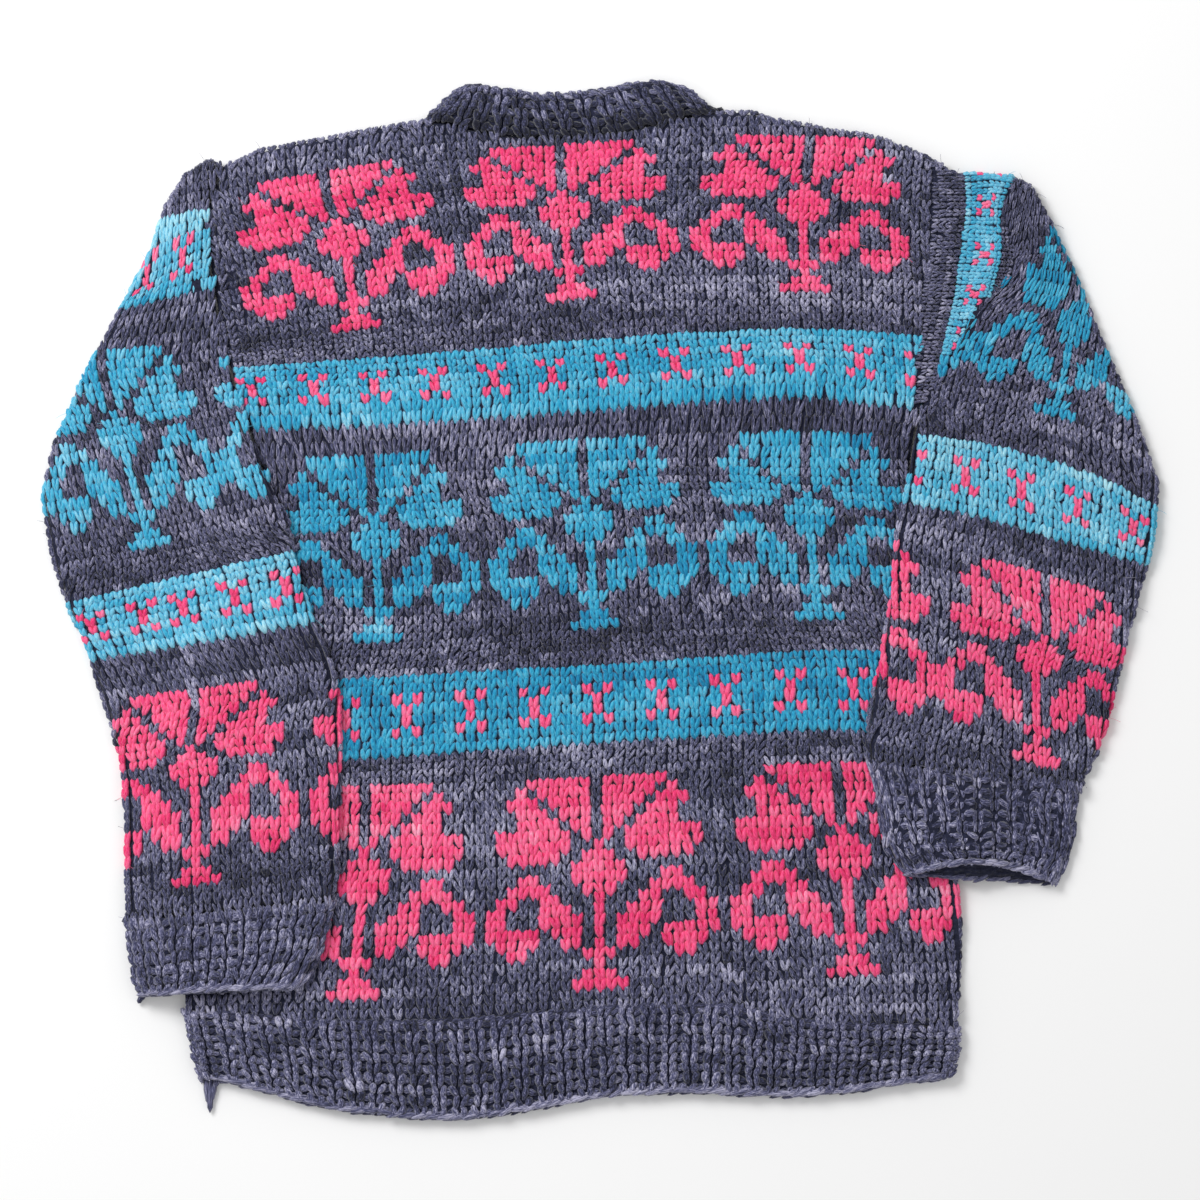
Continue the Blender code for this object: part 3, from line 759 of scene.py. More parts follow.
def lattice(seed, net, columns, courses, tree, folds, polygon, chart, crosses,
            hidden=(), under=False):
    """Lay a net of stitches on the cloth and sort them by yarn."""
    flat = net_places(net, columns, courses + 0.5)
    points, angle, bottom = lay_on(tree, flat, folds, under)
    grid = points[:, ::-1] if under else points
    across, up, out = frames_of(grid)
    if under:
        across, up, out = across[:, ::-1], up[:, ::-1], out[:, ::-1]
    limit = UNDER_FOLD_LIMIT if under else FOLD_LIMIT
    keep = np.where(angle > 0.0, angle < limit, inside(flat, polygon))
    for region in hidden:
        keep &= ~inside(flat, region)
    if under:
        keep &= bottom < UNDERSIDE_REACH
    random = np.random.default_rng(seed)
    shape = flat.shape[:-1]
    streaks = ramp_noise(seed + 1, shape[0], shape[1], 9)
    patches = ramp_noise(seed + 2, shape[0], shape[1], 26)
    jitter = random.normal(size=shape + (6,))
    rows = {NAVY: [], PINK: [], TURQUOISE: []}
    for i, j in zip(*np.nonzero(keep)):
        side, rise, face, uneven = across[i, j], up[i, j], out[i, j], jitter[i, j]
        yarn, shade = stitch_yarn(chart, crosses, int(columns[j]), int(courses[i]))
        size = 1.0 + SIZE_VARIES * uneven[0]
        drift = STREAK_SHADE * streaks[i, j] + PATCH_SHADE * patches[i, j]
        drift = drift + STITCH_SHADE * uneven[1]
        tone = MIDDLE_TONE + shade + drift * YARN_DRIFT[yarn]
        lean = LEAN_VARIES * uneven[2]
        centre = points[i, j] + face * (STITCH_LIFT + OUT_VARIES * uneven[3])
        centre = centre + side * PLACE_VARIES * uneven[4] + rise * PLACE_VARIES * uneven[5]
        rows[yarn].append(np.concatenate([
            centre, side * size, rise * size + side * lean, face,
            (tone, random.uniform(0.0, MOST_SEED))]))
    return {yarn: stitch_table(group) for yarn, group in rows.items() if group}


def pick(stitches, mask):
    """Only the chosen stitches."""
    return tuple(column[mask] for column in stitches)


def joined(groups):
    """Several groups of stitches as one."""
    return tuple(np.concatenate(columns) for columns in zip(*groups))


# Materials


def linear(colour):
    """A screen colour from 0 to 255 as the shader's linear colour."""
    parts = [value / 255.0 for value in colour]
    lit = [v / 12.92 if v <= 0.04045 else ((v + 0.055) / 1.055) ** 2.4 for v in parts]
    return (*lit, 1.0)


def attribute_node(tree, name):
    """A piece's own attribute in a material."""
    return add_node(tree, "ShaderNodeAttribute", attribute_name=name, attribute_type="GEOMETRY")


def new_material(name, **finish):
    """A new material, its node tree, and its shader with the given finish."""
    material = bpy.data.materials.new(name)
    material.use_nodes = True
    shader = material.node_tree.nodes["Principled BSDF"]
    for key, value in finish.items():
        shader.inputs[key.replace("_", " ")].default_value = value
    return material, material.node_tree, shader


def colour_by(tree, shader, shade, stops):
    """Colour the shader by a shade, through stops of position and screen colour."""
    ramp = add_node(tree, "ShaderNodeValToRGB", ((0, shade),))
    elements = ramp.color_ramp.elements
    while len(elements) < len(stops):
        elements.new(0.5)
    for element, (position, colour) in zip(elements, stops):
        element.position = position
        element.color = linear(colour)
    tree.links.new(ramp.outputs[0], shader.inputs["Base Color"])


def bump_by(tree, shader, height, strength, distance):
    """Bump the shader by a height."""
    bump = add_node(tree, "ShaderNodeBump", (
        ("Strength", strength), ("Distance", distance), ("Height", height)))
    tree.links.new(bump.outputs[0], shader.inputs["Normal"])


def noise_at(tree, where, scale, detail, *more):
    """Fine noise at a place."""
    node = add_node(tree, "ShaderNodeTexNoise", (
        ("Vector", where), ("Scale", scale), ("Detail", detail), *more))
    return node.outputs[0]


def stitched_wool(name, stops, fibre_share, sheen):
    """Hairy wool on stitches, its shade drifting along the rows and mottled by fibres."""
    material, tree, shader = new_material(name, Roughness=0.92, Specular_IOR_Level=0.25,
                                          Sheen_Weight=sheen, Sheen_Roughness=0.5)
    tone = attribute_node(tree, "tone").outputs["Fac"]
    seed = attribute_node(tree, "seed").outputs["Fac"]
    local = attribute_node(tree, "local").outputs["Vector"]
    apart = add_node(tree, "ShaderNodeCombineXYZ", ((0, seed), (1, seed), (2, seed)))
    fibre_place, hair_place = (
        vector_result(tree, "ADD", vector_result(tree, "MULTIPLY", local, stretch),
                      apart.outputs[0])
        for stretch in ((13.0, 2.4, 1300.0), (26.0, 9.0, 2600.0)))
    fibres = noise_at(tree, fibre_place, 1.0, 4.0, ("Roughness", 0.62))
    centred = calculate(tree, "SUBTRACT", fibres, 0.5)
    shade = calculate(tree, "MULTIPLY_ADD", centred, fibre_share, tone)
    colour_by(tree, shader, shade, stops)
    hairs = noise_at(tree, hair_place, 1.0, 3.0, ("Roughness", 0.6))
    bump_by(tree, shader, hairs, 0.6, 0.0009)
    return material


def cloth_wool(name, stops):
    """The cloth behind the stitches: navy wool with rows of low purl bumps, darkened as painted
    shade.
    """
    material, tree, shader = new_material(name, Roughness=0.95, Specular_IOR_Level=0.15,
                                          Sheen_Weight=0.2)
    where = add_node(tree, "ShaderNodeTexCoord").outputs["Object"]
    sized = add_node(tree, "ShaderNodeMapping", (("Vector", where), ("Scale", (1.0, 1.7, 1.0))))
    purls = add_node(tree, "ShaderNodeTexVoronoi", (
        ("Vector", sized.outputs[0]), ("Scale", 190.0), ("Randomness", 0.55)),
        feature="SMOOTH_F1").outputs[0]
    fibres = noise_at(tree, where, 900.0, 4.0)
    mixed = calculate(tree, "MULTIPLY_ADD", fibres, 0.6, 0.2)
    # Painted shade: darker away from the middle of each purl bump, where the bump sinks.
    shade = calculate(tree, "SUBTRACT", mixed, calculate(tree, "MULTIPLY", purls, 0.5))
    colour_by(tree, shader, shade, stops)
    sunk = calculate(tree, "MULTIPLY", purls, -1.0)
    height = calculate(tree, "MULTIPLY_ADD", fibres, 0.25, sunk)
    bump_by(tree, shader, height, 0.8, 0.002)
    return material


def loose_wool(name, stops):
    """Single fibres: wool mottled along its length."""
    material, tree, shader = new_material(name, Roughness=0.9, Sheen_Weight=0.3)
    where = add_node(tree, "ShaderNodeTexCoord").outputs["Object"]
    noise = noise_at(tree, where, 420.0, 3.0)
    colour_by(tree, shader, noise, stops)
    bump_by(tree, shader, noise, 0.6, 0.0006)
    return material


NAVY_STOPS = (
    (0.0, (12, 14, 32)),
    (0.26, (38, 41, 68)),
    (0.48, (76, 78, 112)),
    (0.68, (112, 112, 144)),
    (1.0, (192, 190, 214)),
)
PINK_STOPS = (
    (0.0, (190, 20, 84)),
    (0.3, (230, 42, 108)),
    (0.55, (251, 88, 141)),
    (0.8, (255, 124, 166)),
    (1.0, (255, 176, 202)),
)
TURQUOISE_STOPS = (
    (0.0, (0, 92, 136)),
    (0.3, (8, 138, 184)),
    (0.52, (54, 174, 210)),
    (0.78, (122, 200, 228)),
    (1.0, (180, 230, 242)),
)
WOOL = (
    stitched_wool("navy_wool_stitches", NAVY_STOPS, 2.5, 0.3),
    stitched_wool("pink_wool_stitches", PINK_STOPS, 1.3, 0.25),
    stitched_wool("turquoise_wool_stitches", TURQUOISE_STOPS, 1.3, 0.25),
)
# The cloth's dark navy is painted shade for the gaps between the stitches.
CLOTH = cloth_wool("navy_wool_inside_painted_shade", ((0.1, (14, 16, 32)), (0.75, (56, 60, 88))))
LOOSE = (
    loose_wool("navy_fibres", ((0.35, (66, 66, 88)), (0.68, (170, 168, 184)))),
    loose_wool("pink_fibres", ((0.35, (236, 60, 110)), (0.68, (255, 160, 186)))),
    loose_wool("turquoise_fibres", ((0.35, (20, 150, 196)), (0.68, (150, 222, 236)))),
)


# Cloth walls in the places of the CAD solids


RIDGED = ("back", "sleeve_left", "sleeve_right")
# The least and most that a ridge raises the cloth, in millimetres.
LEAST_RIDGE, MOST_RIDGE = 0.05, 5.5
# In metres: farther than this from the surface there is no cloth, and cloth thinner than
# this is one layer.
PAST_CLOTH, ONE_LAYER = 0.1, 0.005
# Soft ridges that leave the creases of the photo between them, in pixels of the photo.
# columns: height and half width in millimetres, then the line of the ridge
RIDGES = (
    (4.6, 7.5, ((236, 190), (225, 225), (229, 262), (238, 300))),
    (4.6, 7.5, ((200, 178), (190, 205), (191, 240), (200, 285))),
    (4.8, 7.0, ((1006, 186), (992, 206), (998, 244), (992, 268), (978, 302), (950, 345))),
    (4.2, 8.5, ((1042, 196), (1036, 236), (1032, 274), (1020, 306))),
    (2.2, 10.0, ((254, 372), (285, 398), (330, 410))),
    (2.4, 9.0, ((262, 422), (300, 446), (350, 452))),
    (2.0, 12.0, ((886, 300), (896, 350), (890, 400))),
    (1.8, 12.0, ((80, 440), (120, 470), (180, 486))),
    (1.8, 12.0, ((1130, 440), (1080, 446), (1030, 436))),
    (1.6, 11.0, ((120, 800), (170, 830), (230, 836))),
    (1.6, 11.0, ((1090, 690), (1030, 706), (960, 700))),
)


def ridge_heights(places):
    """How much the top layer is raised at each place, in millimetres."""
    total = np.zeros(places.shape[:-1])
    for height, half_width, pixels in RIDGES:
        away = past_line(places, [mm_place(pixel) for pixel in pixels])[0]
        total += height * np.exp(-((away / half_width) ** 2))
    return np.minimum(total, MOST_RIDGE)


def raise_ridges(bm):
    """Divide the cloth and raise the ridges in its upper layer."""
    bmesh.ops.subdivide_edges(bm, edges=bm.edges, cuts=2, use_grid_fill=True)
    tree = BVHTree.FromBMesh(bm)
    verts = list(bm.verts)
    places = np.array([(vert.co.x / MM, vert.co.y / MM) for vert in verts])
    for vert, height in zip(verts, ridge_heights(places)):
        if height < LEAST_RIDGE:
            continue
        x, y, z = vert.co
        above = tree.ray_cast(Vector((x, y, PAST_CLOTH)), Vector((0, 0, -1)))[0]
        below = tree.ray_cast(Vector((x, y, -PAST_CLOTH)), Vector((0, 0, 1)))[0]
        if above is None or below is None or above.z - below.z < ONE_LAYER:
            share = 1.0
        else:
            level = (z - below.z) / (above.z - below.z)
            share = min(max(level * 5.0 - 2.0, 0.0), 1.0)
        vert.co.z += height * share * MM


def wall_cloth(node):
    """A copy of the CAD wall, merged and drawn in a little on every side."""
    source = bpy.data.objects[node]
    bm = bmesh.new()
    bm.from_mesh(source.data)
    bmesh.ops.remove_doubles(bm, verts=bm.verts, dist=0.00001)
    if node in RIDGED:
        raise_ridges(bm)
    bm.normal_update()
    normals = {vert: vert.normal.copy() for vert in bm.verts}
    for vert, normal in normals.items():
        vert.co -= normal * CLOTH_INSET * MM
    mesh = bpy.data.meshes.new(node + "_cloth")
    bm.to_mesh(mesh)
    bm.free()
    mesh.shade_smooth()
    mesh.materials.clear()
    mesh.materials.append(CLOTH)
    piece = bpy.data.objects.new(node + "_cloth", mesh)
    bpy.context.scene.collection.objects.link(piece)
    return piece


NODES = ("front", "back", "hem_front", "hem_back", "neckband",
         "sleeve_left", "sleeve_right", "cuff_left", "cuff_right")
cloths = {node: wall_cloth(node) for node in NODES}


def tree_of(*nodes):
    """A search tree over the cloth of some pieces."""
    vertices, faces = [], []
    for node in nodes:
        mesh = cloths[node].data
        first = len(vertices)
        vertices += [vertex.co.copy() for vertex in mesh.vertices]
        faces += [[first + index for index in face.vertices] for face in mesh.polygons]
    return BVHTree.FromPolygons(vertices, faces)


body_surface = tree_of("back", "front", "hem_back", "hem_front")
left_surface = tree_of("sleeve_left")
right_surface = tree_of("sleeve_right")
cap_surface = tree_of("sleeve_right", "back")

# Regions


# A side is -1 at the left of the photo and 1 at its right.


def outline(rows):
    """The outline of a sleeve or cuff: outer edge, then inner edge back again."""
    return [row[:2] for row in rows] + [row[2:] for row in rows[::-1]]


def sleeve_region(rows, side):
    """The outline of a sleeve with its armhole."""
    column = 1 if side < 0 else 2
    armhole = [(row[column], row[0]) for row in BODY_SIDES if row[0] > LAP_START]
    return outline(rows) + armhole


def edge_folds(rows, side):
    """The folded edges of a sleeve or cuff."""
    return [([row[:2] for row in rows][::side], FOLD_RADIUS),
            ([row[2:] for row in rows][::-side], FOLD_RADIUS)]


def shrunk(rows, inner_by):
    """Rows of a sleeve or cuff with their edges drawn in."""
    result = []
    for row in rows:
        step = np.array(row[2:], float) - np.array(row[:2], float)
        step *= inner_by / np.linalg.norm(step)
        result.append((row[0] + step[0], row[1] + step[1], row[2] - step[0], row[3] - step[1]))
    return result


left_region = sleeve_region(LEFT_SLEEVE + (PAST_LEFT_CUFF,), -1)
right_region = sleeve_region(RIGHT_SLEEVE + (PAST_RIGHT_CUFF,), 1)
body_left = [(row[1], row[0]) for row in BODY_SIDES]
body_right = [(row[2], row[0]) for row in BODY_SIDES]
hem_join = [(row[0], row[1]) for row in HEM_LINES]
neck_crease = [(x, y - (NECK_CREASE if -115 < x < 62 else 0.0)) for x, y in BACK_TOP_EDGE]
body_region = body_left[2:] + neck_crease + body_right[:1:-1] + hem_join[::-1]
cap_region = [mm_place(pixel) for pixel in SEAM_PIXELS + CREASE_PIXELS]


covered = [
    sleeve_region(shrunk(LEFT_SLEEVE, HIDE_INSET), -1),
    sleeve_region(shrunk(RIGHT_SLEEVE, HIDE_INSET), 1),
    outline(shrunk(LEFT_CUFF, HIDE_INSET)),
    outline(shrunk(RIGHT_CUFF, HIDE_INSET)),
]

# Folded edges, each a line with the outside on its left, and its radius.
left_side = [(x, y) for x, y in body_left if y < LAP_START]
right_side = [(x, y) for x, y in body_right if y < LAP_START]
body_folds = [
    (left_side, FOLD_RADIUS),
    (right_side[::-1], FOLD_RADIUS),
    (list(BACK_TOP_EDGE)[:5], FOLD_RADIUS),
    (list(BACK_TOP_EDGE)[11:], FOLD_RADIUS),
]
left_folds = edge_folds(LEFT_SLEEVE, -1)
right_folds = edge_folds(RIGHT_SLEEVE, 1)

BODY_CROSSES = {25: "odd threes", 60: "even threes"}
LEFT_CROSSES = {-12: "by five", 25: "by five"}
RIGHT_CROSSES = {-12: "odd threes", 25: "odd threes"}

BODY_PANEL = (BODY_NET, np.arange(-41, 42), np.arange(-8, 101), body_surface, body_folds,
              body_region, BODY_CHART, BODY_CROSSES)
LEFT_PANEL = (LEFT_NET, np.arange(-14, 20), np.arange(-19, 64), left_surface, left_folds,
              left_region, SLEEVE_CHART, LEFT_CROSSES)
RIGHT_PANEL = (RIGHT_NET, np.arange(-22, 15), np.arange(-9, 64), right_surface, right_folds,
               right_region, RIGHT_CHART, RIGHT_CROSSES)
cap_edge = list(BACK_TOP_EDGE[16:18]) + [row[:2] for row in RIGHT_SLEEVE[:5]]
CAP_PANEL = (CAP_NET, np.arange(-36, 2), np.arange(-18, 0), cap_surface,
             [(cap_edge, FOLD_RADIUS)], cap_region, SLEEVE_CHART, RIGHT_CROSSES)

back_stitches = lattice(11, *BODY_PANEL, hidden=covered + [cap_region])
left_stitches = lattice(21, *LEFT_PANEL)
right_stitches = lattice(31, *RIGHT_PANEL, hidden=[cap_region])
cap_stitches = lattice(41, *CAP_PANEL)
front_stitches = lattice(51, *BODY_PANEL, under=True)
left_under = lattice(61, *LEFT_PANEL, under=True)
right_under = lattice(71, *RIGHT_PANEL, under=True)


def flattened(stitches):
    """Stitches on the underside, pressed up so that none goes through the surface."""
    centre = stitches[0].copy()
    centre[:, 2] = np.maximum(centre[:, 2], UNDER_STITCH_HEIGHT)
    return (centre,) + tuple(stitches[1:])


pieces = {node: [] for node in NODES}


def keep_piece(node, piece):
    """Note a finished piece of wool and the cloth that it belongs to."""
    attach(piece, "root")
    pieces[node].append(piece)


def add_piece(node, name, stitches, yarn, **values):
    """Knit one piece of stitches."""
    keep_piece(node, knit(name, stitches, WOOL[yarn], **values))


# What differs from the stitch tree's own values.
COLOURED_STITCH = {"Leg width": 0.275, "Leg length": 0.82}
UNDER_STITCH = {"Leg sides": 4, "Leg rings": 2, "Leg depth": 0.0012, "Arch": 0.0,
                "Tuck": 0.0004}
BACK_OF_STITCH = {"Two legs": False, "Leg sides": 4, "Leg rings": 3, "Leg width": 0.66,
                  "Leg length": 0.62, "Leg depth": 0.0008, "Top spread": 0.0,
                  "Bottom spread": 0.0, "Arch": 0.0, "Tuck": 0.0}


def stitch_backs(stitches):
    """The low backs of stitches, in the same yarn made darker as painted shade seen between the
    legs.
    """
    centre, across, up, out, tone, seed = stitches
    # Painted shade: the backs take a tone 0.3 lower than the legs.
    return centre - out * 0.3 + up * 0.1, across, up, out, tone - 0.3, seed


def add_by_yarn(node, groups):
    """One piece for each yarn of a panel, and two where there are many stitches."""
    for yarn, stitches in groups.items():
        name = node + "_" + YARN_NAMES[yarn]
        values = {}
        if yarn != NAVY:
            add_piece(node, name + "_backs", stitch_backs(stitches), yarn, **BACK_OF_STITCH)
            values = COLOURED_STITCH
        along = stitches[0][:, 1]
        if len(along) > MOST_STITCHES:
            upper = along >= np.median(along)
            add_piece(node, name + "_upper", pick(stitches, upper), yarn, **values)
            add_piece(node, name + "_lower", pick(stitches, ~upper), yarn, **values)
        else:
            add_piece(node, name, stitches, yarn, **values)


add_by_yarn("back", back_stitches)
add_by_yarn("sleeve_left", left_stitches)
for yarn in cap_stitches:
    right_stitches[yarn] = joined([right_stitches[yarn], cap_stitches[yarn]])
add_by_yarn("sleeve_right", right_stitches)
for node, groups in (("front", front_stitches), ("sleeve_left", left_under),
                     ("sleeve_right", right_under)):
    for yarn, stitches in groups.items():
        name = node + "_under_" + YARN_NAMES[yarn]
        add_piece(node, name, flattened(stitches), yarn, **UNDER_STITCH)

# Ribs


def unit(vector):
    """A vector of length one."""
    return vector / max(np.linalg.norm(vector), 1e-9)


def rib_stitches(seed, points, width, tone, painted_shade=0.0):
    """Stitches on the ribs of a band. points is rows by ribs, laid on the crests."""
    across, up, out = frames_of(points)
    random = np.random.default_rng(seed)
    shape = points.shape[:-1]
    jitter = random.normal(size=shape + (6,))
    streaks = ramp_noise(seed + 1, shape[0], shape[1], 4)
    rows = []
    for index in np.ndindex(shape):
        side = unit(across[index])
        wide = side * width * (1.0 + 0.09 * jitter[index][0])
        tall = up[index] * (1.0 + 0.1 * jitter[index][1]) + side * 1.3 * jitter[index][2]
        centre = points[index] + out[index] * (0.5 + 0.4 * jitter[index][3])
        centre = centre + side * 0.6 * jitter[index][4]
        shade = tone + 0.07 * streaks[index] + 0.1 * jitter[index][5]
        # Painted shade: darker towards the band's last row, by its seam.
        shade -= painted_shade * (index[0] / shape[0]) ** 2
        rows.append(np.concatenate([
            centre, wide, tall, out[index], (shade, random.uniform(0.0, MOST_SEED))]))
    return stitch_table(rows)


def purl_stitches(seed, points, tone, painted_shade=0.0):
    """The flat bumps between the ribs."""
    across, up, out = frames_of(points)
    random = np.random.default_rng(seed)
    rows = []
    for index in np.ndindex(points.shape[:-1]):
        side = unit(across[index])
        middle = points[index] + side * random.normal(0.0, 0.6)
        middle = middle + out[index] * random.normal(-0.3, 0.4)
        wide = up[index] * random.uniform(0.95, 1.2) + side * random.normal(0.0, 1.4)
        tall = -side * PURL_SPAN + up[index] * random.normal(0.0, 0.3)
        # Painted shade as on the ribs: darker towards the band's last row.
        shade = tone + random.normal(0.0, 0.12) - painted_shade * (index[0] / points.shape[0]) ** 2
        rows.append(np.concatenate([
            middle, wide, tall, out[index], (shade, random.uniform(0.0, MOST_SEED))]))
    return stitch_table(rows)


def edge_strands(seed, path, spacing, length, thickness, slant, tone):
    """Slanted strands of a cast-on edge along a path of points, from left to right."""
    steps = np.linalg.norm(np.diff(path, axis=0), axis=1)
    travelled = np.concatenate([[0.0], np.cumsum(steps)])
    count = max(int(travelled[-1] / spacing), 2)
    wanted = np.linspace(0.0, travelled[-1], count)
    places = [np.interp(wanted, travelled, path[:, axis]) for axis in range(3)]
    places = np.stack(places, axis=-1)
    directions = np.gradient(places, axis=0)
    random = np.random.default_rng(seed)
    rows = []
    for place, direction in zip(places, directions):
        ahead = unit(direction)
        side = unit(np.cross((0.0, 0.0, 1.0), ahead))
        angle = math.radians(slant + random.normal(0.0, 5.0))
        tall = (ahead * math.cos(angle) + side * math.sin(angle)) * length
        tall = tall * random.uniform(0.9, 1.1)
        wide = unit(np.cross(tall, (0.0, 0.0, 1.0))) * thickness * random.uniform(0.85, 1.15)
        out = unit(np.cross(wide, tall))
        centre = place + random.normal(0.0, 0.3, 3)
        shade = tone + random.normal(0.0, 0.1)
        rows.append(np.concatenate([
            centre, wide, tall, out, (shade, random.uniform(0.0, MOST_SEED))]))
    return stitch_table(rows)


RIB = {"Leg width": 0.235, "Top spread": 0.31, "Bottom spread": 0.15, "Leg depth": 0.0023}
PURL = {"Two legs": False, "Leg length": 0.5, "Leg width": 0.4, "Top spread": 0.0,
        "Bottom spread": 0.0, "Leg depth": 0.0017, "Arch": 0.0008, "Tuck": 0.0}
STRAND = {"Two legs": False, "Leg length": 0.5, "Leg width": 0.5, "Top spread": 0.0,
          "Bottom spread": 0.0, "Leg depth": 0.0021, "Arch": 0.0003, "Tuck": 0.0,
          "Leg sides": 6}
# A rib's stitches are this share of the room for one rib.
RIB_WIDTH_SHARE = 0.86
UNDER_RIB_WIDTH = 12.6
PURL_SPAN = 8.4
# Two more ribs at each edge of a band, this far past it, roll over its fold.
EDGE_COLUMNS = (-3.6, 2.0)
HEM_TOP_LEFT, HEM_TOP_WIDTH = -296.0, 553.0
HEM_WIDTH, CUFF_WIDTH, NECK_WIDTH = 556.0, 148.0, 190.0
CUFF_MARGIN = 0.025


def table_column(rows, column):
    """One column of a table."""
    return [row[column] for row in rows]


def hem_flat(levels, shares):
    """Places on the hem band: levels down it, shares across."""
    x_top = HEM_TOP_LEFT + np.asarray(shares) * HEM_TOP_WIDTH
    x_low = HEM_LOWER[0] + np.asarray(shares) * (HEM_LOWER[1] - HEM_LOWER[0])
    keys = table_column(HEM_LINES, 0)
    y_top = smooth_lookup(keys, table_column(HEM_LINES, 1), x_top)
    y_low = smooth_lookup(keys, table_column(HEM_LINES, 2), x_low)
    levels = np.asarray(levels)[:, None]
    x = x_top + (x_low - x_top) * levels
    return np.stack([x, y_top + (y_low - y_top) * levels], axis=-1)


def cuff_flat(table, levels, shares):
    """Places on a cuff: levels down it, shares across."""
    keys = np.linspace(0.0, 1.0, len(table))
    lines = smooth_lookup(keys, np.array(table, float), levels)
    shares = np.asarray(shares)[None, :]
    x = lines[:, 0:1] + (lines[:, 2:3] - lines[:, 0:1]) * shares
    y = lines[:, 1:2] + (lines[:, 3:4] - lines[:, 1:2]) * shares
    return np.stack([x, y], axis=-1)


def neck_flat(levels, shares):
    """Places on the neckband: levels down it, shares along."""
    rows = np.array([row[1:] for row in NECKBAND], float)
    lines = smooth_lookup(table_column(NECKBAND, 0), rows, shares)
    levels = np.asarray(levels)[:, None]
    x = lines[None, :, 2] + (lines[None, :, 0] - lines[None, :, 2]) * levels
    y = lines[None, :, 3] + (lines[None, :, 1] - lines[None, :, 3]) * levels
    return np.stack([x, y], axis=-1)


def rib_shares(count, width, margin):
    """Shares across a band at the ribs' crests, with two more round each edge."""
    crests = margin + (1.0 - 2.0 * margin) * (np.arange(count) + 0.5) / count
    edges = np.array(EDGE_COLUMNS) / width
    return np.concatenate([edges, crests, 1.0 - edges[::-1]])


def valley_shares(count, margin):
    """Shares across a band between the ribs."""
    return margin + (1.0 - 2.0 * margin) * np.arange(1, count) / count


def ribbed_band(node, seed, place, rows, count, width, margin, folds, tone, top_rows=0,
                painted_shade=0.0):
    """Ribs and the purls between them on one band, darker towards its last row by painted shade.
    """
    rib_width = RIB_WIDTH_SHARE * width / count
    surface = tree_of(node)
    levels = (np.arange(-top_rows, rows) + 0.5) / rows
    ribs = lay_on(surface, place(levels, rib_shares(count, width, margin)), folds, False)[0]
    valleys = lay_on(surface, place(levels, valley_shares(count, margin)), folds, False)[0]
    ribs = rib_stitches(seed, ribs, rib_width, tone, painted_shade)
    # The purls in the valleys between the ribs are 0.08 darker as painted shade.
    purls = purl_stitches(seed + 1, valleys, tone - 0.08, painted_shade)
    add_piece(node, node + "_ribs", ribs, NAVY, **RIB)
    add_piece(node, node + "_purls", purls, NAVY, **PURL)


def add_cast_on(node, strands):
    """The cast-on edge of a band."""
    add_piece(node, node + "_cast_on", strands, NAVY, **STRAND)


hem_left = [tuple(place[0]) for place in hem_flat(np.linspace(0, 1, 5), [0.0])]
hem_right = [tuple(place[0]) for place in hem_flat(np.linspace(0, 1, 5), [1.0])]
hem_folds = [(hem_left[::-1], FOLD_RADIUS), (hem_right, FOLD_RADIUS)]
ribbed_band("hem_back", 101, hem_flat, HEM_ROWS, HEM_RIBS, HEM_WIDTH, 0.0, hem_folds, 0.5)
hem_levels = (np.arange(HEM_ROWS) + 0.5) / HEM_ROWS
hem_under = hem_flat(hem_levels, valley_shares(HEM_RIBS, 0.0))[:, ::-1]
hem_under = lay_on(tree_of("hem_front"), hem_under, [], True)[0]
add_piece("hem_front", "hem_front_ribs", rib_stitches(103, hem_under, UNDER_RIB_WIDTH, 0.45),
          NAVY, **{**RIB, **UNDER_STITCH})

# columns: node, side, seed, table, rows of stitches, how far the upper edge is drawn back
CUFFS = (
    ("cuff_left", -1, 111, LEFT_CUFF, 7, 1.5),
    ("cuff_right", 1, 121, RIGHT_CUFF, 9, 11.0),
)
for node, side, seed, table, rows, setback in CUFFS:

    def place_on_cuff(levels, shares, table=table, setback=setback):
        """Places on this cuff's upper layer, drawn back at its open end."""
        places = cuff_flat(table, levels, shares)
        arch = np.sin(math.pi * np.clip(np.asarray(shares), 0.0, 1.0))[None, :]
        places[..., 1] += setback * arch * np.asarray(levels)[:, None] ** 2
        return places

    ribbed_band(node, seed, place_on_cuff, rows, CUFF_RIBS, CUFF_WIDTH, CUFF_MARGIN,
                edge_folds(table, side), 0.52)
    shares = np.linspace(0.03, 0.97, 24)[::-side]
    surface = tree_of(node)
    tip = lay_on(surface, place_on_cuff([0.93, 0.97], shares), [], False)[0][1]
    edge = place_on_cuff([1.0], shares)[0]
    top = np.concatenate([edge + (0.0, 1.2), tip[:, 2:3] + 0.8], axis=-1)
    low_tip = lay_on(surface, cuff_flat(table, [0.95, 0.97], shares), [], True)[0][1]
    low_edge = cuff_flat(table, [1.0], shares)[0]
    bottom = np.concatenate([low_edge, low_tip[:, 2:3] + 1.0], axis=-1)
    # The lower strands take a darker tone, as painted shade under the upper layer.
    add_cast_on(node, joined([
        edge_strands(seed + 5, top, spacing=7.5, length=15.0, thickness=4.6, slant=13.0,
                     tone=0.68),
        edge_strands(seed + 6, bottom, spacing=7.5, length=14.0, thickness=4.0, slant=13.0,
                     tone=0.42),
    ]))

neck_rows = np.array([row[1:] for row in NECKBAND], float)
neck_top = [tuple(row) for row in neck_rows[:, 2:4]]
neck_left = [tuple(neck_rows[0, 0:2]), tuple(neck_rows[0, 2:4])]
neck_right = [tuple(neck_rows[-1, 2:4]), tuple(neck_rows[-1, 0:2])]
neck_folds = [(neck_top, 2.0), (neck_left, FOLD_RADIUS), (neck_right, FOLD_RADIUS)]
# The neckband is darker towards its seam as painted shade of the crease under it.
ribbed_band("neckband", 131, neck_flat, NECK_ROWS, NECK_RIBS, NECK_WIDTH, 0.0, neck_folds,
            0.54, top_rows=1, painted_shade=0.75)

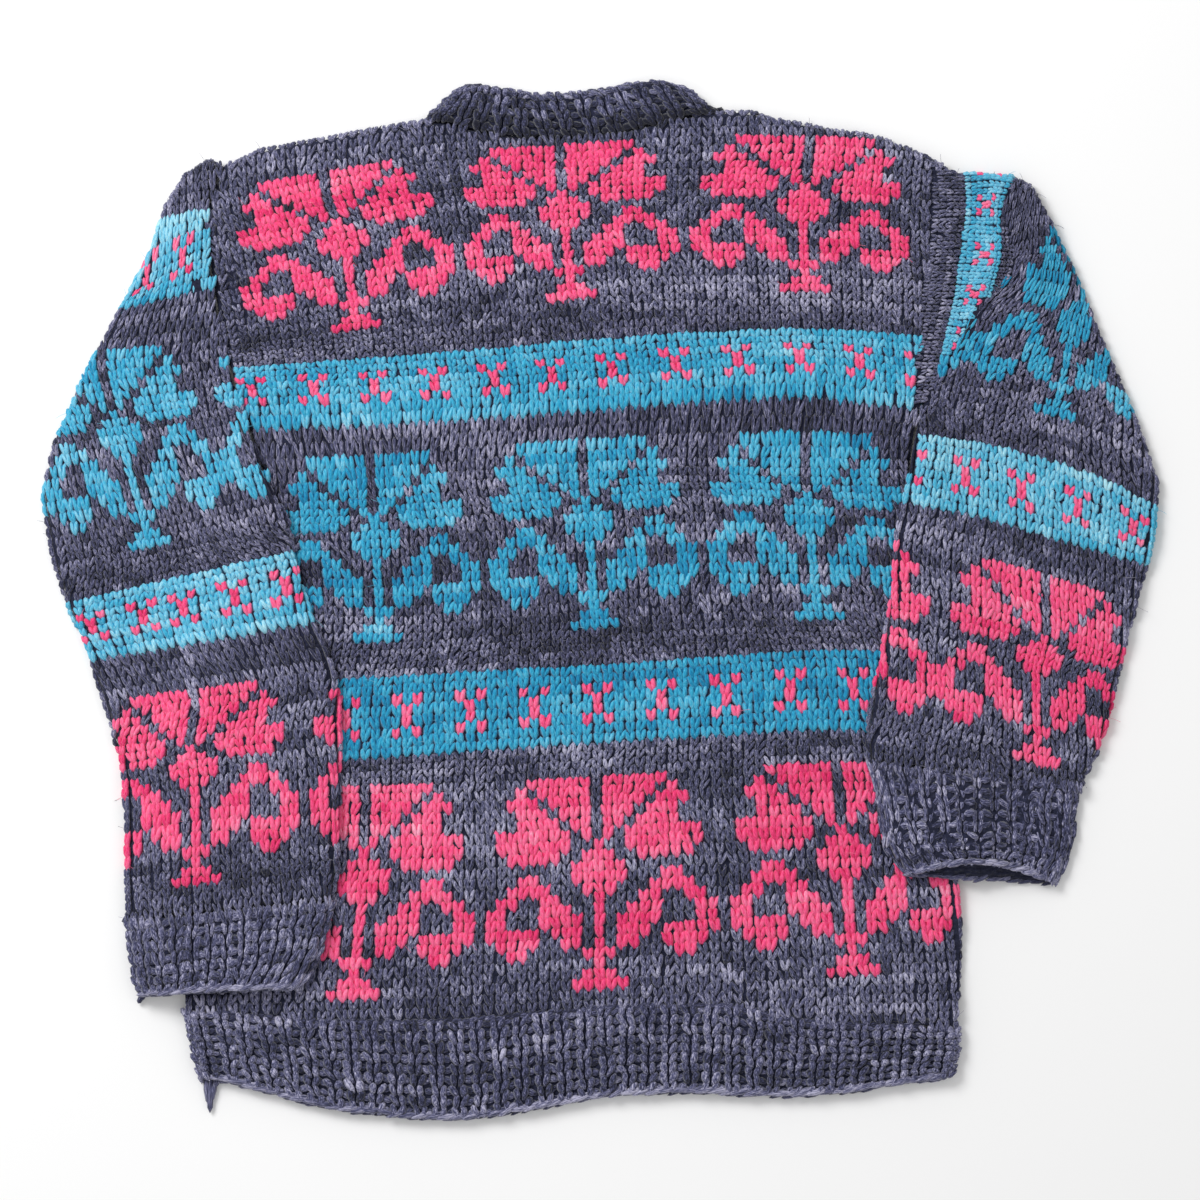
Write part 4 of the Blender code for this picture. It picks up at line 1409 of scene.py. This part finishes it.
hem_edge = hem_flat([1.0], np.linspace(0.018, 0.985, 60))[0]
upper_path, lower_path = (
    np.concatenate([hem_edge + (0.0, drawn_back), np.full((60, 1), height)], axis=-1)
    for drawn_back, height in ((1.6, 8.2), (0.0, 2.2)))
add_cast_on("hem_back", edge_strands(141, upper_path, spacing=8.6, length=17.0, thickness=5.0,
                                     slant=12.0, tone=0.68))
# The lower layer's strands are darker, as painted shade under the upper layer.
add_cast_on("hem_front", edge_strands(142, lower_path, spacing=8.0, length=15.0, thickness=4.4,
                                      slant=14.0, tone=0.4))

# Seams between the panels and their bands


def add_seam(node, seed, line, beside, sunk, tone):
    """A sewn seam sunk between two pieces, along a line from left to right, its dark tone
    painted shade of the crease.
    """
    keys = np.linspace(0.0, 1.0, len(line))
    places = smooth_lookup(keys, np.array(line, float), np.linspace(0.0, 1.0, 40))
    heights = surface_heights(tree_of(node, beside), places[None], -1)[0]
    path = np.concatenate([places, heights[:, None] - sunk], axis=-1)
    strands = edge_strands(seed, path, spacing=6.0, length=9.0, thickness=5.0, slant=14.0,
                           tone=tone)
    add_piece(node, node + "_seam", strands, NAVY, **STRAND)


# The seams' low tones are painted shade in the creases, darkest under the neckband.
add_seam("neckband", 151, [row[1:3] for row in NECKBAND], "back", 1.6, 0.08)
add_seam("hem_back", 152, [row[:2] for row in HEM_LINES[1:-1]], "back", 1.6, 0.3)
add_seam("cuff_left", 153, [LEFT_CUFF[0][:2], LEFT_CUFF[0][2:]], "sleeve_left", 1.8, 0.3)
add_seam("cuff_right", 154, [RIGHT_CUFF[0][2:], RIGHT_CUFF[0][:2]], "sleeve_right", 1.8, 0.3)

# Yarn ends and loose fibres

# Ends of yarn left hanging. columns: start x, y, end x, y, thickness
HEM_TAIL = (
    (-284.0, -341.0, -281.5, -364.0, 5.0),
    (-280.0, -340.0, -280.6, -370.0, 5.4),
    (-276.0, -342.0, -279.8, -362.0, 5.0),
    (-273.5, -344.0, -278.5, -352.0, 4.6),
)
CUFF_TAIL = (
    (-328.0, -283.0, -332.4, -291.0, 4.4),
    (-326.5, -284.0, -331.0, -289.0, 3.6),
)


def yarn_tail(table, height, tone):
    """Tapered strands that lie side by side."""
    rows = []
    for number, (x0, y0, x1, y1, thickness) in enumerate(table):
        tall = np.array((x1 - x0, y1 - y0, 0.0))
        wide = unit(np.cross(tall, (0.0, 0.0, 1.0))) * thickness
        centre = ((x0 + x1) / 2.0, (y0 + y1) / 2.0, height)
        rows.append(np.concatenate([centre, wide, tall, (0.0, 0.0, 1.0), (tone, 3.0 * number)]))
    return stitch_table(rows)


add_piece("hem_front", "hem_front_tail", yarn_tail(HEM_TAIL, 3.0, 0.5), NAVY, **STRAND)
add_piece("cuff_left", "cuff_left_tail", yarn_tail(CUFF_TAIL, 3.0, 0.3), NAVY, **STRAND)


FIBRE_STEPS = 4
FIBRE_RADIUS = 0.00013
LONGEST_FIBRE = 11.0
# One stitch in about six has a loose fibre.
FIBRE_SHARE = 0.17


def loose_fibres(name, seed, roots, outs, yarn):
    """Fine curved hairs that stand out of the stitches."""
    random = np.random.default_rng(seed)
    vertices, edges = [], []
    for root, out in zip(roots, outs):
        length = random.uniform(0.35, 1.0) * LONGEST_FIBRE
        direction = unit(random.normal(size=3) + out * 0.8)
        curl = unit(random.normal(size=3)) * random.uniform(0.2, 0.7)
        point = root + out * 1.1
        first = len(vertices)
        for step in range(FIBRE_STEPS + 1):
            vertices.append(point * MM)
            if step:
                edges.append((first + step - 1, first + step))
            direction = unit(direction + curl * (1.0 / FIBRE_STEPS) - out * 0.12)
            point = point + direction * (length / FIBRE_STEPS)
    mesh = bpy.data.meshes.new(name + "_lines")
    mesh.from_pydata([tuple(vertex) for vertex in vertices], edges, [])
    return run_tree(name, mesh, FIBRES, {"Wool": LOOSE[yarn], "Radius": FIBRE_RADIUS})


for node, groups in (("back", back_stitches), ("sleeve_left", left_stitches),
                     ("sleeve_right", right_stitches)):
    for yarn, (centre, _, _, out, _, _) in groups.items():
        random = np.random.default_rng(200 + yarn)
        chosen = random.random(len(centre)) < FIBRE_SHARE
        name = node + "_fibres_" + YARN_NAMES[yarn]
        piece = loose_fibres(name, 210 + yarn, centre[chosen], out[chosen], yarn)
        keep_piece(node, piece)

# Cloths in place of the CAD parts

for node, cloth in cloths.items():
    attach(cloth, "root")
    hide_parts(node)

# Floor, light and camera

# The camera and the light, in metres and watts.
CAMERA_DISTANCE = 3.0
FRAME_WIDTH = 0.864
FRAME_CENTRE_Y = -0.0007
SENSOR = 36.0
FLOOR_HALF = 4.0
FLOOR_COLOUR = (0.93, 0.93, 0.93, 1.0)
LIGHT_PLACE, LIGHT_SIZE, LIGHT_POWER = (-1.5, 1.5, 2.0), 1.2, 62.0
SKY_STRENGTH = 0.62


def make_floor():
    """A plain pale floor."""
    bm = bmesh.new()
    bmesh.ops.create_grid(bm, x_segments=1, y_segments=1, size=FLOOR_HALF)
    mesh = bpy.data.meshes.new("floor")
    bm.to_mesh(mesh)
    bm.free()
    material, _, shader = new_material("pale_floor", Roughness=0.9)
    shader.inputs["Base Color"].default_value = FLOOR_COLOUR
    mesh.materials.append(material)
    floor = bpy.data.objects.new("floor", mesh)
    bpy.context.scene.collection.objects.link(floor)


def make_light(name, place, size, power):
    """A soft square light aimed at the garment."""
    light = bpy.data.lights.new(name, "AREA")
    light.size = size
    light.energy = power
    lamp = bpy.data.objects.new(name, light)
    lamp.location = place
    lamp.rotation_euler = (-Vector(place)).to_track_quat("-Z", "Y").to_euler()
    bpy.context.scene.collection.objects.link(lamp)


make_floor()
make_light("window_light", LIGHT_PLACE, LIGHT_SIZE, LIGHT_POWER)
world = bpy.data.worlds.new("studio")
world.use_nodes = True
sky = world.node_tree.nodes["Background"]
sky.inputs["Color"].default_value = (1.0, 1.0, 1.0, 1.0)
sky.inputs["Strength"].default_value = SKY_STRENGTH
bpy.context.scene.world = world
bpy.context.scene.view_settings.view_transform = "Standard"
camera = bpy.data.objects.new("camera", bpy.data.cameras.new("camera"))
camera.data.sensor_width = SENSOR
camera.data.lens = SENSOR * CAMERA_DISTANCE / FRAME_WIDTH
camera.location = (0.0, FRAME_CENTRE_Y, CAMERA_DISTANCE)
bpy.context.scene.collection.objects.link(camera)
bpy.context.scene.camera = camera
